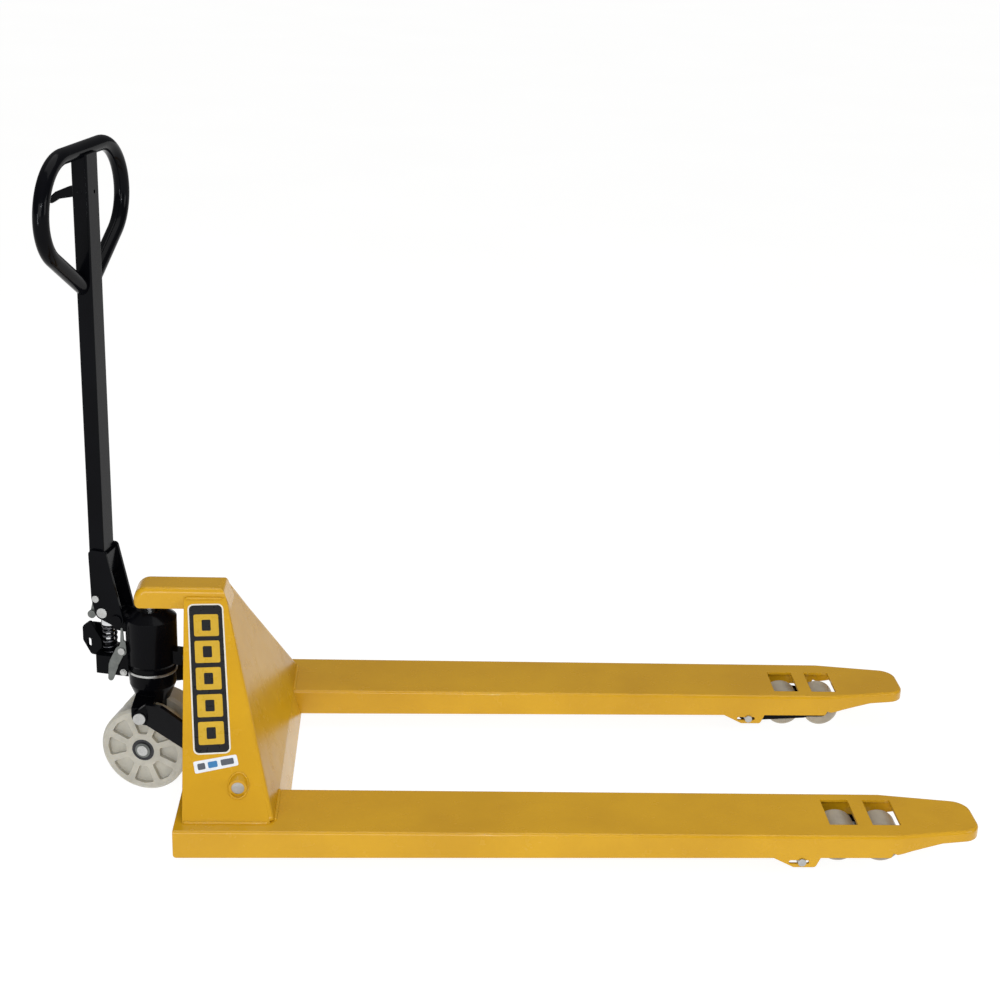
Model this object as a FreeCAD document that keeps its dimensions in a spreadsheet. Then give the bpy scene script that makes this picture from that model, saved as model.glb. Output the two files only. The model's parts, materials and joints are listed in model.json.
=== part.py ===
"""Hand pallet jack: fork frame, swivelling hydraulic pump unit and roller linkage.

Millimetres, +Z up, +X towards the fork tips, +Y towards the operator's left hand.
The drawing coordinates used below have X = 0 where the front plate stands on the forks;
the finished parts are shifted so that the origin is under the middle of the whole jack.
Pieces of the pump unit are drawn about the steering axis and then swivelled together.
"""
import FreeCAD, Part
import math
import os

import Sketcher

V = FreeCAD.Vector
UP = V(0, 0, 1)
SIDES = (("right", -1), ("left", 1))

SIZES = {
    # forks
    "fork_span": 685, "fork_width": 150, "fork_top": 80, "fork_wall": 5,
    "butt_x": -162, "taper_x": 1065, "tip_x": 1220, "nose_radius": 34, "nose_half": 21,
    "flange_low_butt": 30, "flange_low_front": 39, "flange_end_x": 1058.5, "fold_radius": 6,
    "ear_low": 20, "ear_rear": 14, "ear_front": 24, "ear_slot_rear": 19, "ear_slot_front": 9.5,
    "ear_slot_radius": 3.5, "tip_low": 60,
    # windows over the load rollers and over the rocker lugs
    "window_inner": 216, "window_outer": 302, "window_length": 49, "window_rear_x": 957.5,
    "window_front_x": 1032.5, "lug_window_rear_x": -104, "lug_window_length": 90,
    "lug_window_inner": 212, "lug_window_outer": 246,
    # tower
    "foot_half": 314, "crown_half": 33, "crown_top": 372, "plate": 6,
    "foot_rear_x": -149, "crown_rear_x": -172, "crown_front_x": -97, "front_foot_x": 6,
    "hood_low": 350, "hood_top": 388, "hood_nose_x": -262, "hood_bend": 25, "hood_edge": 11,
    "hood_roof": 12,
    "lip_low": 31, "lip_x": 21, "boss_radius": 15.5, "boss_inner": 240, "boss_outer": 278,
    # lifting linkage
    "lift": 110, "shaft_x": -58, "shaft_height": 127, "shaft_radius": 11,
    "pin_x": -249, "pin_height": 162, "pin_radius": 7, "lug_arm": 66.8, "bracket_x": 905,
    "bracket_height": 30, "bracket_bar_radius": 8, "rod_arm": 34, "bogie_x": 1019.5,
    "bogie_height": 36, "rod_side": 231, "rod_thickness": 10, "rocker_half": 238,
    "rocker_tube_radius": 19, "arm_inner": 85, "arm_thickness": 8, "lug_inner": 220,
    "lug_thickness": 10, "yoke_inner": 76, "yoke_thickness": 8,
    "bracket_inner": 217, "bracket_outer": 301, "bracket_plate": 5,
    "link_inner": 223, "link_outer": 295, "link_plate": 4,
    "roller_radius": 35, "roller_length": 60, "roller_pitch": 75.5, "roller_centre": 259,
    # pump unit
    "steer_x": -236, "swivel": 14, "wheel_radius": 80, "wheel_inner": 12, "wheel_width": 46,
    "axle_radius": 10, "tank_radius": 46, "ram_radius": 15, "stem_radius": 24,
    "seat_low": 164, "seat_top": 217.3, "stem_low": 166, "tank_low": 222, "thrust_thickness": 4.1,
    "piston_x": -80, "piston_radius": 8, "piston_cap_radius": 15, "piston_cap_height": 16,
    "piston_low": 250, "well_radius": 15.5, "spring_radius": 12.2, "spring_wire": 1.75,
    "spring_turns": 7, "housing_rear_x": -98, "housing_half": 32, "housing_swing": 100,
    "housing_low": 211, "housing_high": 246, "housing_sleeve_radius": 10,
    "pivot_x": -54, "pivot_height": 318, "pivot_radius": 8, "cam_x": -80, "cam_height": 330,
    "cam_radius": 16, "cam_pin_radius": 6, "stay_x": -91, "stay_height": 356,
    "stay_radius": 4.5, "release_x": -43, "release_height": 262,
    # handle
    "bar_x": -89, "bar_depth": 28, "bar_breadth": 46, "bar_wall": 3, "bar_low": 386,
    "loop_x": -94, "loop_tube": 13.5, "loop_half": 163, "loop_top": 1149.5, "loop_corner": 91,
    "loop_side": 80, "loop_lean": 57.4, "lever_tip_x": -148.5, "lever_tip_radius": 5.5,
    "lever_half": 5, "lever_height": 1084, "lever_pin_radius": 4, "control_radius": 3,
    "control_low": 372,
    # radial room left round pistons, turned shafts, link pins and the rocker shaft
    "slide_fit": 0.05, "snug_fit": 0.1, "link_fit": 0.15, "loose_fit": 0.3,
}

doc = FreeCAD.newDocument("pallet_jack")
sheet = doc.addObject("Spreadsheet::Sheet", "Sizes")
for row, (alias, number) in enumerate(SIZES.items(), start=1):
    sheet.set(f"A{row}", alias)
    sheet.set(f"B{row}", str(number))
    sheet.setAlias(f"B{row}", alias)
doc.recompute()

nodes = []


def size(alias):
    """Value of one cell of the sheet."""
    return float(sheet.get(alias))


def bind(thing, prop, expression):
    """Bind a property to the sheet; words in the expression that name cells are looked up there."""
    words = expression.replace("(", " ( ").replace(")", " ) ").split()
    text = " ".join(f"Sizes.{word}" if word in SIZES else word for word in words)
    thing.setExpression(prop, text)


swivel = math.radians(size("swivel"))
lever_end = size("lever_tip_x") - size("lever_tip_radius")
rear_x = (
    size("steer_x") + lever_end * math.cos(swivel) - size("lever_half") * math.sin(swivel))
centre_x = (rear_x + size("tip_x")) / 2
FIXED = FreeCAD.Placement(V(-centre_x, 0, 0), FreeCAD.Rotation())
SWIVELLED = FreeCAD.Placement(
    V(size("steer_x") - centre_x, 0, 0), FreeCAD.Rotation(UP, -size("swivel")))

# directions for placing solids whose own axis is Z
ALONG_X = FreeCAD.Rotation(V(0, 1, 0), 90)
ALONG_Y = FreeCAD.Rotation(V(1, 0, 0), -90)
ALONG_Z = FreeCAD.Rotation()


# ---------------------------------------------------------------- building blocks

def keep(thing, label, placement):
    """Register a finished sub-part under its label, moved into the jack's frame."""
    thing.Label = label
    thing.Placement = placement.multiply(thing.Placement)
    nodes.append(thing)
    return thing


def new_body(name):
    body = doc.addObject("PartDesign::Body", name)
    doc.recompute()
    return body


def new_sketch(body, plane, offset=0):
    """Sketch on one of the body's own origin planes, shifted along that plane's normal."""
    sketch = body.newObject("Sketcher::SketchObject", body.Name + "_sketch")
    origin_plane = [f for f in body.Origin.OriginFeatures if f.Role == plane][0]
    sketch.AttachmentSupport = [(origin_plane, "")]
    sketch.MapMode = "FlatFace"
    sketch.AttachmentOffset = FreeCAD.Placement(V(0, 0, offset), FreeCAD.Rotation())
    return sketch


def polygon(sketch, points):
    """Closed outline whose corners are pinned with coordinate constraints."""
    first = sketch.GeometryCount
    count = len(points)
    corners = [V(x, y, 0) for x, y in points]
    for i in range(count):
        sketch.addGeometry(Part.LineSegment(corners[i], corners[(i + 1) % count]))
    for i in range(count):
        sketch.addConstraint(
            Sketcher.Constraint("Coincident", first + i, 2, first + (i + 1) % count, 1))
    for i, (x, y) in enumerate(points):
        sketch.addConstraint(Sketcher.Constraint("DistanceX", first + i, 1, x))
        sketch.addConstraint(Sketcher.Constraint("DistanceY", first + i, 1, y))


def rectangle(sketch, x0, y0, x1, y1):
    polygon(sketch, [(x0, y0), (x1, y0), (x1, y1), (x0, y1)])


def circle(sketch, x, y, radius):
    index = sketch.addGeometry(Part.Circle(V(x, y, 0), UP, radius))
    sketch.addConstraint(Sketcher.Constraint("Radius", index, radius))
    return index


def belt(sketch, discs):
    """Outline drawn tight round a convex ring of discs (x, y, radius), given anticlockwise."""
    normals = []
    for i, (x, y, radius) in enumerate(discs):
        nx, ny, next_radius = discs[(i + 1) % len(discs)]
        run = V(nx - x, ny - y, 0)
        ahead = V(run).normalize()
        outward = V(ahead.y, -ahead.x, 0)
        lean = (radius - next_radius) / run.Length
        normals.append(ahead * lean + outward * math.sqrt(1 - lean * lean))
    for i, (x, y, radius) in enumerate(discs):
        nx, ny, next_radius = discs[(i + 1) % len(discs)]
        start = math.atan2(normals[i - 1].y, normals[i - 1].x)
        end = math.atan2(normals[i].y, normals[i].x)
        if end < start:
            end += 2 * math.pi
        sketch.addGeometry(Part.ArcOfCircle(Part.Circle(V(x, y, 0), UP, radius), start, end))
        leave = V(x, y, 0) + normals[i] * radius
        arrive = V(nx, ny, 0) + normals[i] * next_radius
        sketch.addGeometry(Part.LineSegment(leave, arrive))


def pad(body, sketch, length, midplane=False, flipped=False):
    feature = body.newObject("PartDesign::Pad", body.Name + "_pad")
    feature.Profile = sketch
    bind(feature, "Length", str(length))
    feature.Midplane = midplane
    feature.Reversed = flipped
    doc.recompute()
    return feature


def pocket(body, sketch, length, midplane=False, flipped=False):
    """Cut a pocket and make sure that it really took material away."""
    before = body.Shape.Volume
    feature = body.newObject("PartDesign::Pocket", body.Name + "_pocket")
    feature.Profile = sketch
    bind(feature, "Length", str(length))
    feature.Midplane = midplane
    feature.Reversed = flipped
    doc.recompute()
    if body.Shape.Volume > before - 1e-3:
        raise RuntimeError(f"{feature.Name} cut nothing")
    return feature


def revolve(body, sketch):
    feature = body.newObject("PartDesign::Revolution", body.Name + "_revolution")
    feature.Profile = sketch
    feature.ReferenceAxis = (sketch, ["V_Axis"])
    feature.Angle = 360
    doc.recompute()
    return feature


def fillet(body, feature, radius, chosen):
    """Round the edges of a feature for which chosen(edge) is true."""
    names = [f"Edge{i}" for i, edge in enumerate(feature.Shape.Edges, start=1) if chosen(edge)]
    if not names:
        raise RuntimeError(f"no edge to round on {feature.Name}")
    rounding = body.newObject("PartDesign::Fillet", body.Name + "_fillet")
    rounding.Base = (feature, names)
    bind(rounding, "Radius", str(radius))
    doc.recompute()
    return rounding


def ends(edge):
    return [vertex.Point for vertex in edge.Vertexes]


def block(name, low, high):
    """Box between two opposite corners."""
    box = doc.addObject("Part::Box", name)
    bind(box, "Length", str(high[0] - low[0]))
    bind(box, "Width", str(high[1] - low[1]))
    bind(box, "Height", str(high[2] - low[2]))
    box.Placement = FreeCAD.Placement(V(*low), FreeCAD.Rotation())
    return box


def rod(name, radius, start, length, direction=ALONG_Z):
    """Round bar from a start point along +X, +Y or +Z."""
    bar = doc.addObject("Part::Cylinder", name)
    bind(bar, "Radius", str(radius))
    bind(bar, "Height", str(length))
    bar.Placement = FreeCAD.Placement(V(*start), direction)
    return bar


def fuse(name, pieces):
    joined = doc.addObject("Part::MultiFuse", name)
    joined.Shapes = pieces
    return joined


def cut(name, base, tools):
    """Base less one or more tools."""
    tool = tools[0] if len(tools) == 1 else fuse(name + "_tools", tools)
    result = doc.addObject("Part::Cut", name)
    result.Base = base
    result.Tool = tool
    return result


def common(name, first, second):
    result = doc.addObject("Part::Common", name)
    result.Base = first
    result.Tool = second
    return result


def group(name, pieces):
    """Separate solids that share one node."""
    result = doc.addObject("Part::Compound", name)
    result.Links = pieces
    return result


def plate_body(name, discs, low, high, holes=()):
    """Flat link drawn in the XZ plane with rounded ends, between two Y values, with round holes."""
    body = new_body(name)
    sketch = new_sketch(body, "XZ_Plane", -high)
    belt(sketch, discs)
    for x, z, radius in holes:
        circle(sketch, x, z, radius)
    pad(body, sketch, high - low)
    return body


# ---------------------------------------------------------------- forks

def flange_low(x):
    """Height of the flanges' lower edge, which rises slowly towards the front."""
    share = (x - size("butt_x")) / (size("flange_end_x") - size("butt_x"))
    return size("flange_low_butt") + share * (size("flange_low_front") - size("flange_low_butt"))


def fork(side, sign):
    """Folded fork channel with bracket ears, two roller windows and a rounded, lifted nose."""
    top = size("fork_top")
    wall = size("fork_wall")
    half = size("fork_width") / 2
    centre = size("fork_span") / 2 - half
    butt = size("butt_x")
    tip = size("tip_x")
    nose = size("nose_radius")
    nose_x = tip - nose
    nose_half = size("nose_half")
    corner = 30
    body = new_body(f"fork_{side}_body")
    plan = new_sketch(body, "XY_Plane")
    belt(plan, [
        (butt - 2 * corner, corner - half, corner), (size("taper_x"), 1 - half, 1),
        (nose_x, -nose_half, nose), (nose_x, nose_half, nose),
        (size("taper_x"), half - 1, 1), (butt - 2 * corner, half - corner, corner)])
    slab = pad(body, plan, "fork_top")

    def top_edge(edge):
        return all(p.z > top - 0.01 for p in ends(edge))

    fillet(body, slab, "fold_radius", top_edge)
    ear_low = size("ear_low")
    bracket = size("bracket_x")
    ear_rear = bracket - size("ear_rear")
    ear_front = bracket + size("ear_front")
    flange_end = size("flange_end_x")
    tip_low = size("tip_low")
    below = new_sketch(body, "XZ_Plane")
    polygon(below, [
        (butt - 4 * corner, -corner), (tip + corner, -corner), (tip + corner, tip_low),
        (1150, tip_low), (1122, 55), (1094, 49.5), (1080, 46), (1070, 44.4),
        (flange_end + 4, 47.5), (flange_end, flange_low(flange_end)),
        (ear_front + 8, flange_low(ear_front + 8)), (ear_front, ear_low), (ear_rear, ear_low),
        (ear_rear - 35, flange_low(ear_rear - 35)),
        (butt, flange_low(butt)), (butt, top + corner), (butt - 4 * corner, top + corner)])
    trimmed = pocket(body, below, "fork_width + 10", midplane=True)

    def heel_or_ear(edge):
        points = ends(edge)
        heel = all(abs(p.x - butt) < 0.01 and p.z < size("flange_low_butt") + 1 for p in points)
        lowest = all(abs(p.z - ear_low) < 0.01 for p in points)
        return heel or (lowest and abs(points[0].x - points[-1].x) < 0.01)

    fillet(body, trimmed, "fold_radius", heel_or_ear)
    inner = half - wall
    inside = new_sketch(body, "XY_Plane")
    polygon(inside, [
        (butt + wall, -inner), (size("taper_x"), -inner), (tip - 40, 4 - nose_half - nose),
        (tip - 15, -nose_half - 9), (tip - 15, nose_half + 9), (tip - 40, nose_half + nose - 4),
        (size("taper_x"), inner), (butt + wall, inner)])
    pocket(body, inside, "fork_top - fork_wall", flipped=True)
    windows = new_sketch(body, "XY_Plane")
    for rear in ("window_rear_x", "window_front_x"):
        rectangle(
            windows, size(rear), sign * (size("window_inner") - centre),
            size(rear) + size("window_length"), sign * (size("window_outer") - centre))
    rectangle(
        windows, size("lug_window_rear_x"), sign * (size("lug_window_inner") - centre),
        size("lug_window_rear_x") + size("lug_window_length"),
        sign * (size("lug_window_outer") - centre))
    pocket(body, windows, "fork_top + 5", flipped=True)
    level = size("bracket_height")
    bolt_hole = new_sketch(body, "XZ_Plane")
    circle(bolt_hole, bracket, level, size("pin_radius") + size("snug_fit"))
    pocket(body, bolt_hole, "fork_width + 10", midplane=True)
    slot = new_sketch(body, "XZ_Plane")
    belt(slot, [
        (bracket - size("ear_slot_rear"), level, size("ear_slot_radius")),
        (bracket + size("ear_slot_front"), level, size("ear_slot_radius"))])
    pocket(body, slot, "fork_width + 10", midplane=True)
    body.Placement = FreeCAD.Placement(V(0, sign * centre, 0), FreeCAD.Rotation())
    return keep(body, f"fork_{side}", FIXED)


# ---------------------------------------------------------------- tower

TOWER_RISE = size("crown_top") - size("fork_top")
TOWER_RUN = size("foot_half") - size("crown_half") - 1
TOWER_SLANT = math.hypot(TOWER_RISE, TOWER_RUN)
TOWER_LEAN = math.degrees(math.atan2(TOWER_RISE, TOWER_RUN))


def hood_space(name):
    """Room taken by the hood between the tops of the plates."""
    half = size("crown_half")
    spare = 40
    return block(
        name, (size("hood_nose_x") - spare, -half, size("hood_low")),
        (size("crown_front_x") + spare, half, size("hood_top") + spare))


def below_forks(name):
    """Everything under the level of the fork tops, which trims the feet of the plates."""
    spare = 40
    half = size("fork_span") / 2 + spare
    return block(
        name, (size("hood_nose_x") - spare, -half, 0),
        (size("lip_x") + spare, half, size("fork_top")))


def side_plate(side, sign):
    """Leaning A-shaped cheek from the fork up to the hood, bored for the rocker shaft."""
    body = new_body(f"cheek_{side}_body")
    outline = new_sketch(body, "XY_Plane")
    spare = 8
    foot_front = -1
    lean_front = (size("crown_front_x") - foot_front) / TOWER_SLANT
    lean_rear = (size("crown_rear_x") - size("foot_rear_x")) / TOWER_SLANT
    polygon(outline, [
        (size("foot_rear_x") - lean_rear * spare, -spare), (foot_front - lean_front * spare, -spare),
        (size("crown_front_x") + lean_front * spare, TOWER_SLANT + spare),
        (size("crown_rear_x") + lean_rear * spare, TOWER_SLANT + spare)])
    pad(body, outline, "plate", flipped=sign < 0)
    angle = TOWER_LEAN if sign < 0 else 180 - TOWER_LEAN
    body.Placement = FreeCAD.Placement(
        V(0, sign * size("foot_half"), size("fork_top")), FreeCAD.Rotation(V(1, 0, 0), angle))
    inner = size("boss_inner") - 10
    length = 70
    bore = rod(
        f"cheek_{side}_bore", "boss_radius",
        (size("shaft_x"), min(sign * inner, sign * (inner + length)), size("shaft_height")),
        length, ALONG_Y)
    trimmed = cut(f"cheek_{side}_cut", body, [
        hood_space(f"cheek_{side}_crown"), below_forks(f"cheek_{side}_foot"), bore])
    return keep(trimmed, f"side_plate_{side}", FIXED)


def sloped_rotation(low, high):
    """Sketch axes for a plate that spans Y and climbs from one (x, z) point to another."""
    climb = V(high[0] - low[0], 0, high[1] - low[1]).normalize()
    across = V(0, 1, 0)
    return FreeCAD.Rotation(across, climb, across.cross(climb), "ZXY")


def front_plate():
    """Trapezium that faces the forks, between the two leaning cheeks."""
    low = (size("front_foot_x"), size("fork_top"))
    high = (size("crown_front_x"), size("crown_top"))
    slant = math.hypot(high[0] - low[0], high[1] - low[1])
    inset = size("plate") / math.sin(math.radians(TOWER_LEAN)) + 0.2
    foot = size("foot_half") - inset
    crown = size("crown_half") + 1 - inset
    body = new_body("front_body")
    outline = new_sketch(body, "XY_Plane")
    polygon(outline, [(-foot, 0), (foot, 0), (crown, slant), (-crown, slant)])
    pad(body, outline, "plate", flipped=True)
    body.Placement = FreeCAD.Placement(V(low[0], 0, low[1]), sloped_rotation(low, high))
    trimmed = cut("front_cut", body, [hood_space("front_crown"), below_forks("front_foot")])
    return keep(trimmed, "front_plate", FIXED)


def cross_plate():
    """Lower web that ties the two forks together under the front plate."""
    low = (size("lip_x"), size("lip_low"))
    high = (size("front_foot_x"), size("fork_top"))
    half = size("fork_span") / 2 - size("fork_width")
    body = new_body("cross_body")
    outline = new_sketch(body, "XY_Plane")
    rectangle(outline, -half, 0, half, math.hypot(high[0] - low[0], high[1] - low[1]))
    pad(body, outline, "plate", flipped=True)
    body.Placement = FreeCAD.Placement(V(low[0], 0, low[1]), sloped_rotation(low, high))
    return keep(body, "cross_plate", FIXED)


def front_plane_x(z):
    """X of the front plate's outer face at a height."""
    share = (z - size("fork_top")) / TOWER_RISE
    return size("front_foot_x") + share * (size("crown_front_x") - size("front_foot_x"))


def hood():
    """Hollow channel over the ram, with a doubled roof, a round nose and a sloped front."""
    low = size("hood_low")
    top = size("hood_top")
    nose = size("hood_nose_x")
    bend = size("hood_bend")
    half = size("crown_half")
    wall = size("plate")
    body = new_body("hood_body")
    profile = new_sketch(body, "XZ_Plane")
    front_low = front_plane_x(low)
    front_top = front_plane_x(top)
    profile.addGeometry(Part.LineSegment(V(nose, low, 0), V(front_low, low, 0)))
    profile.addGeometry(Part.LineSegment(V(front_low, low, 0), V(front_top, top, 0)))
    profile.addGeometry(Part.LineSegment(V(front_top, top, 0), V(nose + bend, top, 0)))
    profile.addGeometry(Part.ArcOfCircle(
        Part.Circle(V(nose + bend, top - bend, 0), UP, bend), math.pi / 2, math.pi))
    profile.addGeometry(Part.LineSegment(V(nose, top - bend, 0), V(nose, low, 0)))
    solid = pad(body, profile, 2 * half, midplane=True)

    def shoulder(edge):
        points = ends(edge)
        on_side = all(abs(abs(p.y) - half) < 0.01 for p in points)
        upper = all(p.z > low + 1 for p in points) and max(p.x for p in points) <= front_top + 0.01
        nose_edge = all(abs(p.x - nose) < 0.01 for p in points)
        return on_side and (upper or nose_edge)

    fillet(body, solid, "hood_edge", shoulder)
    hollow = new_sketch(body, "XY_Plane", low - 1)
    rectangle(hollow, nose + wall, -half + wall, front_top - wall, half - wall)
    pocket(body, hollow, top - size("hood_roof") - low + 1, flipped=True)
    return keep(body, "hood", FIXED)


def tower_fittings():
    """Rocker shaft with its two bosses, and the ram with the pad that it lifts."""
    x = size("shaft_x")
    z = size("shaft_height")
    inner = size("boss_inner")
    outer = size("boss_outer")
    reach = outer - 1
    keep(rod("shaft_bar", "shaft_radius", (x, -reach, z), 2 * reach, ALONG_Y), "rocker_shaft", FIXED)
    bosses = []
    for side, sign in SIDES:
        start = min(sign * inner, sign * outer)
        tube = rod(f"boss_{side}_outer", "boss_radius", (x, start, z), outer - inner, ALONG_Y)
        bore = rod(f"boss_{side}_bore", "shaft_radius", (x, start - 1, z), outer - inner + 2, ALONG_Y)
        bosses.append(cut(f"boss_{side}", tube, [bore]))
    keep(group("boss_pair", bosses), "shaft_bosses", FIXED)
    pad_thickness = 6
    pad_low = size("hood_top") - size("hood_roof") - pad_thickness
    pad_disc = rod("ram_pad_disc", size("ram_radius") + 4, (size("steer_x"), 0, pad_low), pad_thickness)
    keep(pad_disc, "ram_pad", FIXED)
    ram_low = size("stem_low") + 9
    keep(rod("ram_bar", "ram_radius", (size("steer_x"), 0, ram_low), pad_low - ram_low), "ram", FIXED)


def bracket_shaft(side, sign):
    """Shaft across a fork that its roller bracket turns on, with slimmer riveted ends."""
    x = size("bracket_x")
    z = size("bracket_height")
    half = size("fork_width") / 2
    centre = sign * (size("fork_span") / 2 - half)
    inside = half - size("fork_wall") - size("snug_fit")
    rivet = half + 3
    bar = rod(f"bracket_bar_{side}", "bracket_bar_radius", (x, centre - inside, z), 2 * inside, ALONG_Y)
    core = rod(f"bracket_rivet_{side}", "pin_radius", (x, centre - rivet, z), 2 * rivet, ALONG_Y)
    keep(fuse(f"bracket_shaft_{side}_fuse", [bar, core]), f"bracket_shaft_{side}", FIXED)


def decals():
    """Plain panel and small blank label stuck on each leaning cheek."""
    panels = []
    for side, sign in SIDES:
        angle = TOWER_LEAN if sign < 0 else 180 - TOWER_LEAN
        pose = FreeCAD.Placement(
            V(0, sign * size("foot_half"), size("fork_top")), FreeCAD.Rotation(V(1, 0, 0), angle))
        for name, corners in (
                ("panel", [(-137, 118), (-73, 122), (-102, 395), (-165, 393)]),
                ("label", [(-132, 85), (-59, 101), (-64, 120), (-137, 106)])):
            body = new_body(f"{name}_{side}_body")
            outline = new_sketch(body, "XY_Plane")
            polygon(outline, corners)
            pad(body, outline, 0.5, flipped=sign > 0)
            body.Placement = pose
            panels.append(body)
    keep(group("panel_set", panels), "side_panels", FIXED)


# ---------------------------------------------------------------- lifting linkage

def lift_angle():
    """Turn of the rocker over the full lift, in degrees."""
    run = size("shaft_x") - size("pin_x")
    rise = size("pin_height") - size("shaft_height")
    arm = math.hypot(run, rise)
    return math.degrees(math.asin(rise / arm) - math.asin((rise - size("lift")) / arm))


def bracket_angle():
    """Turn of the roller brackets over the full lift, in degrees."""
    run = size("bogie_x") - size("bracket_x")
    rise = size("bogie_height") - size("bracket_height")
    arm = math.hypot(run, rise)
    return math.degrees(math.asin(rise / arm) - math.asin((rise - size("lift")) / arm))


def lug_pin():
    """Centre (x, z) of the pin that joins rocker and push rod."""
    half_turn = math.radians(lift_angle() / 2)
    return (
        size("shaft_x") - size("lug_arm") * math.sin(half_turn),
        size("shaft_height") - size("lug_arm") * math.cos(half_turn))


def bracket_pin():
    """Centre (x, z) of the pin that joins push rod and roller bracket."""
    half_turn = math.radians(bracket_angle() / 2)
    return (
        size("bracket_x") - size("rod_arm") * math.sin(half_turn),
        size("bracket_height") + size("rod_arm") * math.cos(half_turn))


def bearing_seat():
    """Conical seat that the pump turns in, with a yoke over the wheels for the rocker pins."""
    x = size("steer_x")
    low = size("seat_low")
    top = size("seat_top")
    body = new_body("seat_body")
    profile = new_sketch(body, "XZ_Plane")
    bore = size("stem_radius") + size("snug_fit")
    polygon(profile, [(bore, low), (31, low), (42, 192), (43, top), (bore, top)])
    revolve(body, profile)
    body.Placement = FreeCAD.Placement(V(x, 0, 0), FreeCAD.Rotation())
    pin_x = size("pin_x")
    pin_z = size("pin_height")
    inner = size("yoke_inner")
    thickness = size("yoke_thickness")
    half = inner + thickness
    bridge = block("seat_bridge", (pin_x - 15, -half, low), (pin_x + 22, half, low + 14))
    ears = []
    slots = []
    for side, sign in SIDES:
        start = min(sign * inner, sign * half)
        ears.append(plate_body(
            f"seat_ear_{side}", [(pin_x - 2, pin_z, 13), (pin_x + 14, pin_z, 13)],
            start, start + thickness))
        slots.append(plate_body(
            f"seat_slot_{side}", [(pin_x - 4, pin_z, 8.4), (pin_x + 13, pin_z, 8.4)],
            start - 1, start + thickness + 1))
    clearance = rod("seat_bore", bore, (x, 0, 0), 2 * top)
    solid = fuse("seat_fuse", [body, bridge] + ears)
    return keep(cut("seat_cut", solid, slots + [clearance]), "bearing_seat", FIXED)


def rocker():
    """Torsion tube with two splayed arms to the front pins and a lug over each fork."""
    x = size("shaft_x")
    z = size("shaft_height")
    pin_x = size("pin_x")
    pin_z = size("pin_height")
    lug_x, lug_z = lug_pin()
    half = size("rocker_half")
    radius = size("rocker_tube_radius")
    inner = size("arm_inner")
    outer = inner + size("arm_thickness")
    splay = half - 19
    reach = half + 20
    tube = rod("rocker_tube", "rocker_tube_radius", (x, -half, z), 2 * half, ALONG_Y)
    pieces = [tube]
    for side, sign in SIDES:
        plan = new_body(f"arm_{side}_plan")
        outline = new_sketch(plan, "XY_Plane", z - radius - 18)
        polygon(outline, [(px, sign * py) for px, py in (
            (pin_x - 16, inner), (pin_x + 16, inner), (x, splay), (x, splay + 11),
            (pin_x + 13, outer), (pin_x - 16, outer))])
        pad(plan, outline, 110)
        view = plate_body(
            f"arm_{side}_view", [
                (pin_x, pin_z + 2, 12), (x, z - 2, radius - 1), (x, z, radius),
                (pin_x + 43, pin_z + 20, 13), (pin_x + 16, pin_z + 17, 10)],
            -reach, reach)
        pieces.append(common(f"arm_{side}", plan, view))
        low, high = sorted((sign * size("lug_inner"), sign * (size("lug_inner") + size("lug_thickness"))))
        pieces.append(plate_body(f"lug_{side}", [(lug_x, lug_z, 11), (x, z, radius)], low, high))
    solid = fuse("rocker_fuse", pieces)
    bore = size("shaft_radius") + size("loose_fit")
    holes = [rod("rocker_bore", bore, (x, -reach, z), 2 * reach, ALONG_Y)]
    for name, spot_x, spot_z in (("front", pin_x, pin_z), ("lug", lug_x, lug_z)):
        holes.append(rod(
            f"rocker_{name}_hole", "pin_radius", (spot_x, -reach, spot_z), 2 * reach, ALONG_Y))
    return keep(cut("rocker_cut", solid, holes), "rocker", FIXED)


def rocker_pins():
    """Two front pins and two lug pins, pressed into the rocker."""
    pins = []
    lug_x, lug_z = lug_pin()
    x = size("pin_x")
    z = size("pin_height")
    inner = size("yoke_inner") + 1
    face = size("arm_inner") + size("arm_thickness")
    head = 3
    tail = size("lug_inner") - 1
    end = size("rod_side") + size("rod_thickness") + 2
    for side, sign in SIDES:
        bar_y = min(sign * inner, sign * (face + head))
        head_y = min(sign * face, sign * (face + head))
        pins.append(fuse(f"front_pin_{side}", [
            rod(f"front_pin_{side}_bar", "pin_radius", (x, bar_y, z), face + head - inner, ALONG_Y),
            rod(f"front_pin_{side}_head", size("pin_radius") + 4, (x, head_y, z), head, ALONG_Y)]))
        lug_y = min(sign * tail, sign * end)
        pins.append(rod(f"lug_pin_{side}", "pin_radius", (lug_x, lug_y, lug_z), end - tail, ALONG_Y))
    return keep(group("rocker_pin_set", pins), "rocker_pins", FIXED)


def push_rod(side, sign):
    """Flat bar from the rocker lug to the roller bracket; its front eye is slotted upwards."""
    lug_x, lug_z = lug_pin()
    end_x, end_z = bracket_pin()
    low, high = sorted((sign * size("rod_side"), sign * (size("rod_side") + size("rod_thickness"))))
    pin = size("pin_radius")
    bar = plate_body(
        f"rod_{side}_bar", [(lug_x, lug_z, pin + 3), (end_x, end_z, pin + 3)], low, high,
        holes=[(lug_x, lug_z, pin + size("loose_fit"))])
    eye = plate_body(
        f"rod_{side}_eye", [(end_x, end_z, pin + 5), (end_x, end_z + 3, pin + 5)], low, high)
    slot = plate_body(
        f"rod_{side}_slot", [(end_x, end_z, pin + 1), (end_x, end_z + 10, pin + 1)],
        low - 1, high + 1)
    solid = fuse(f"rod_{side}_fuse", [bar, eye])
    return keep(cut(f"rod_{side}_cut", solid, [slot]), f"push_rod_{side}", FIXED)


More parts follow.
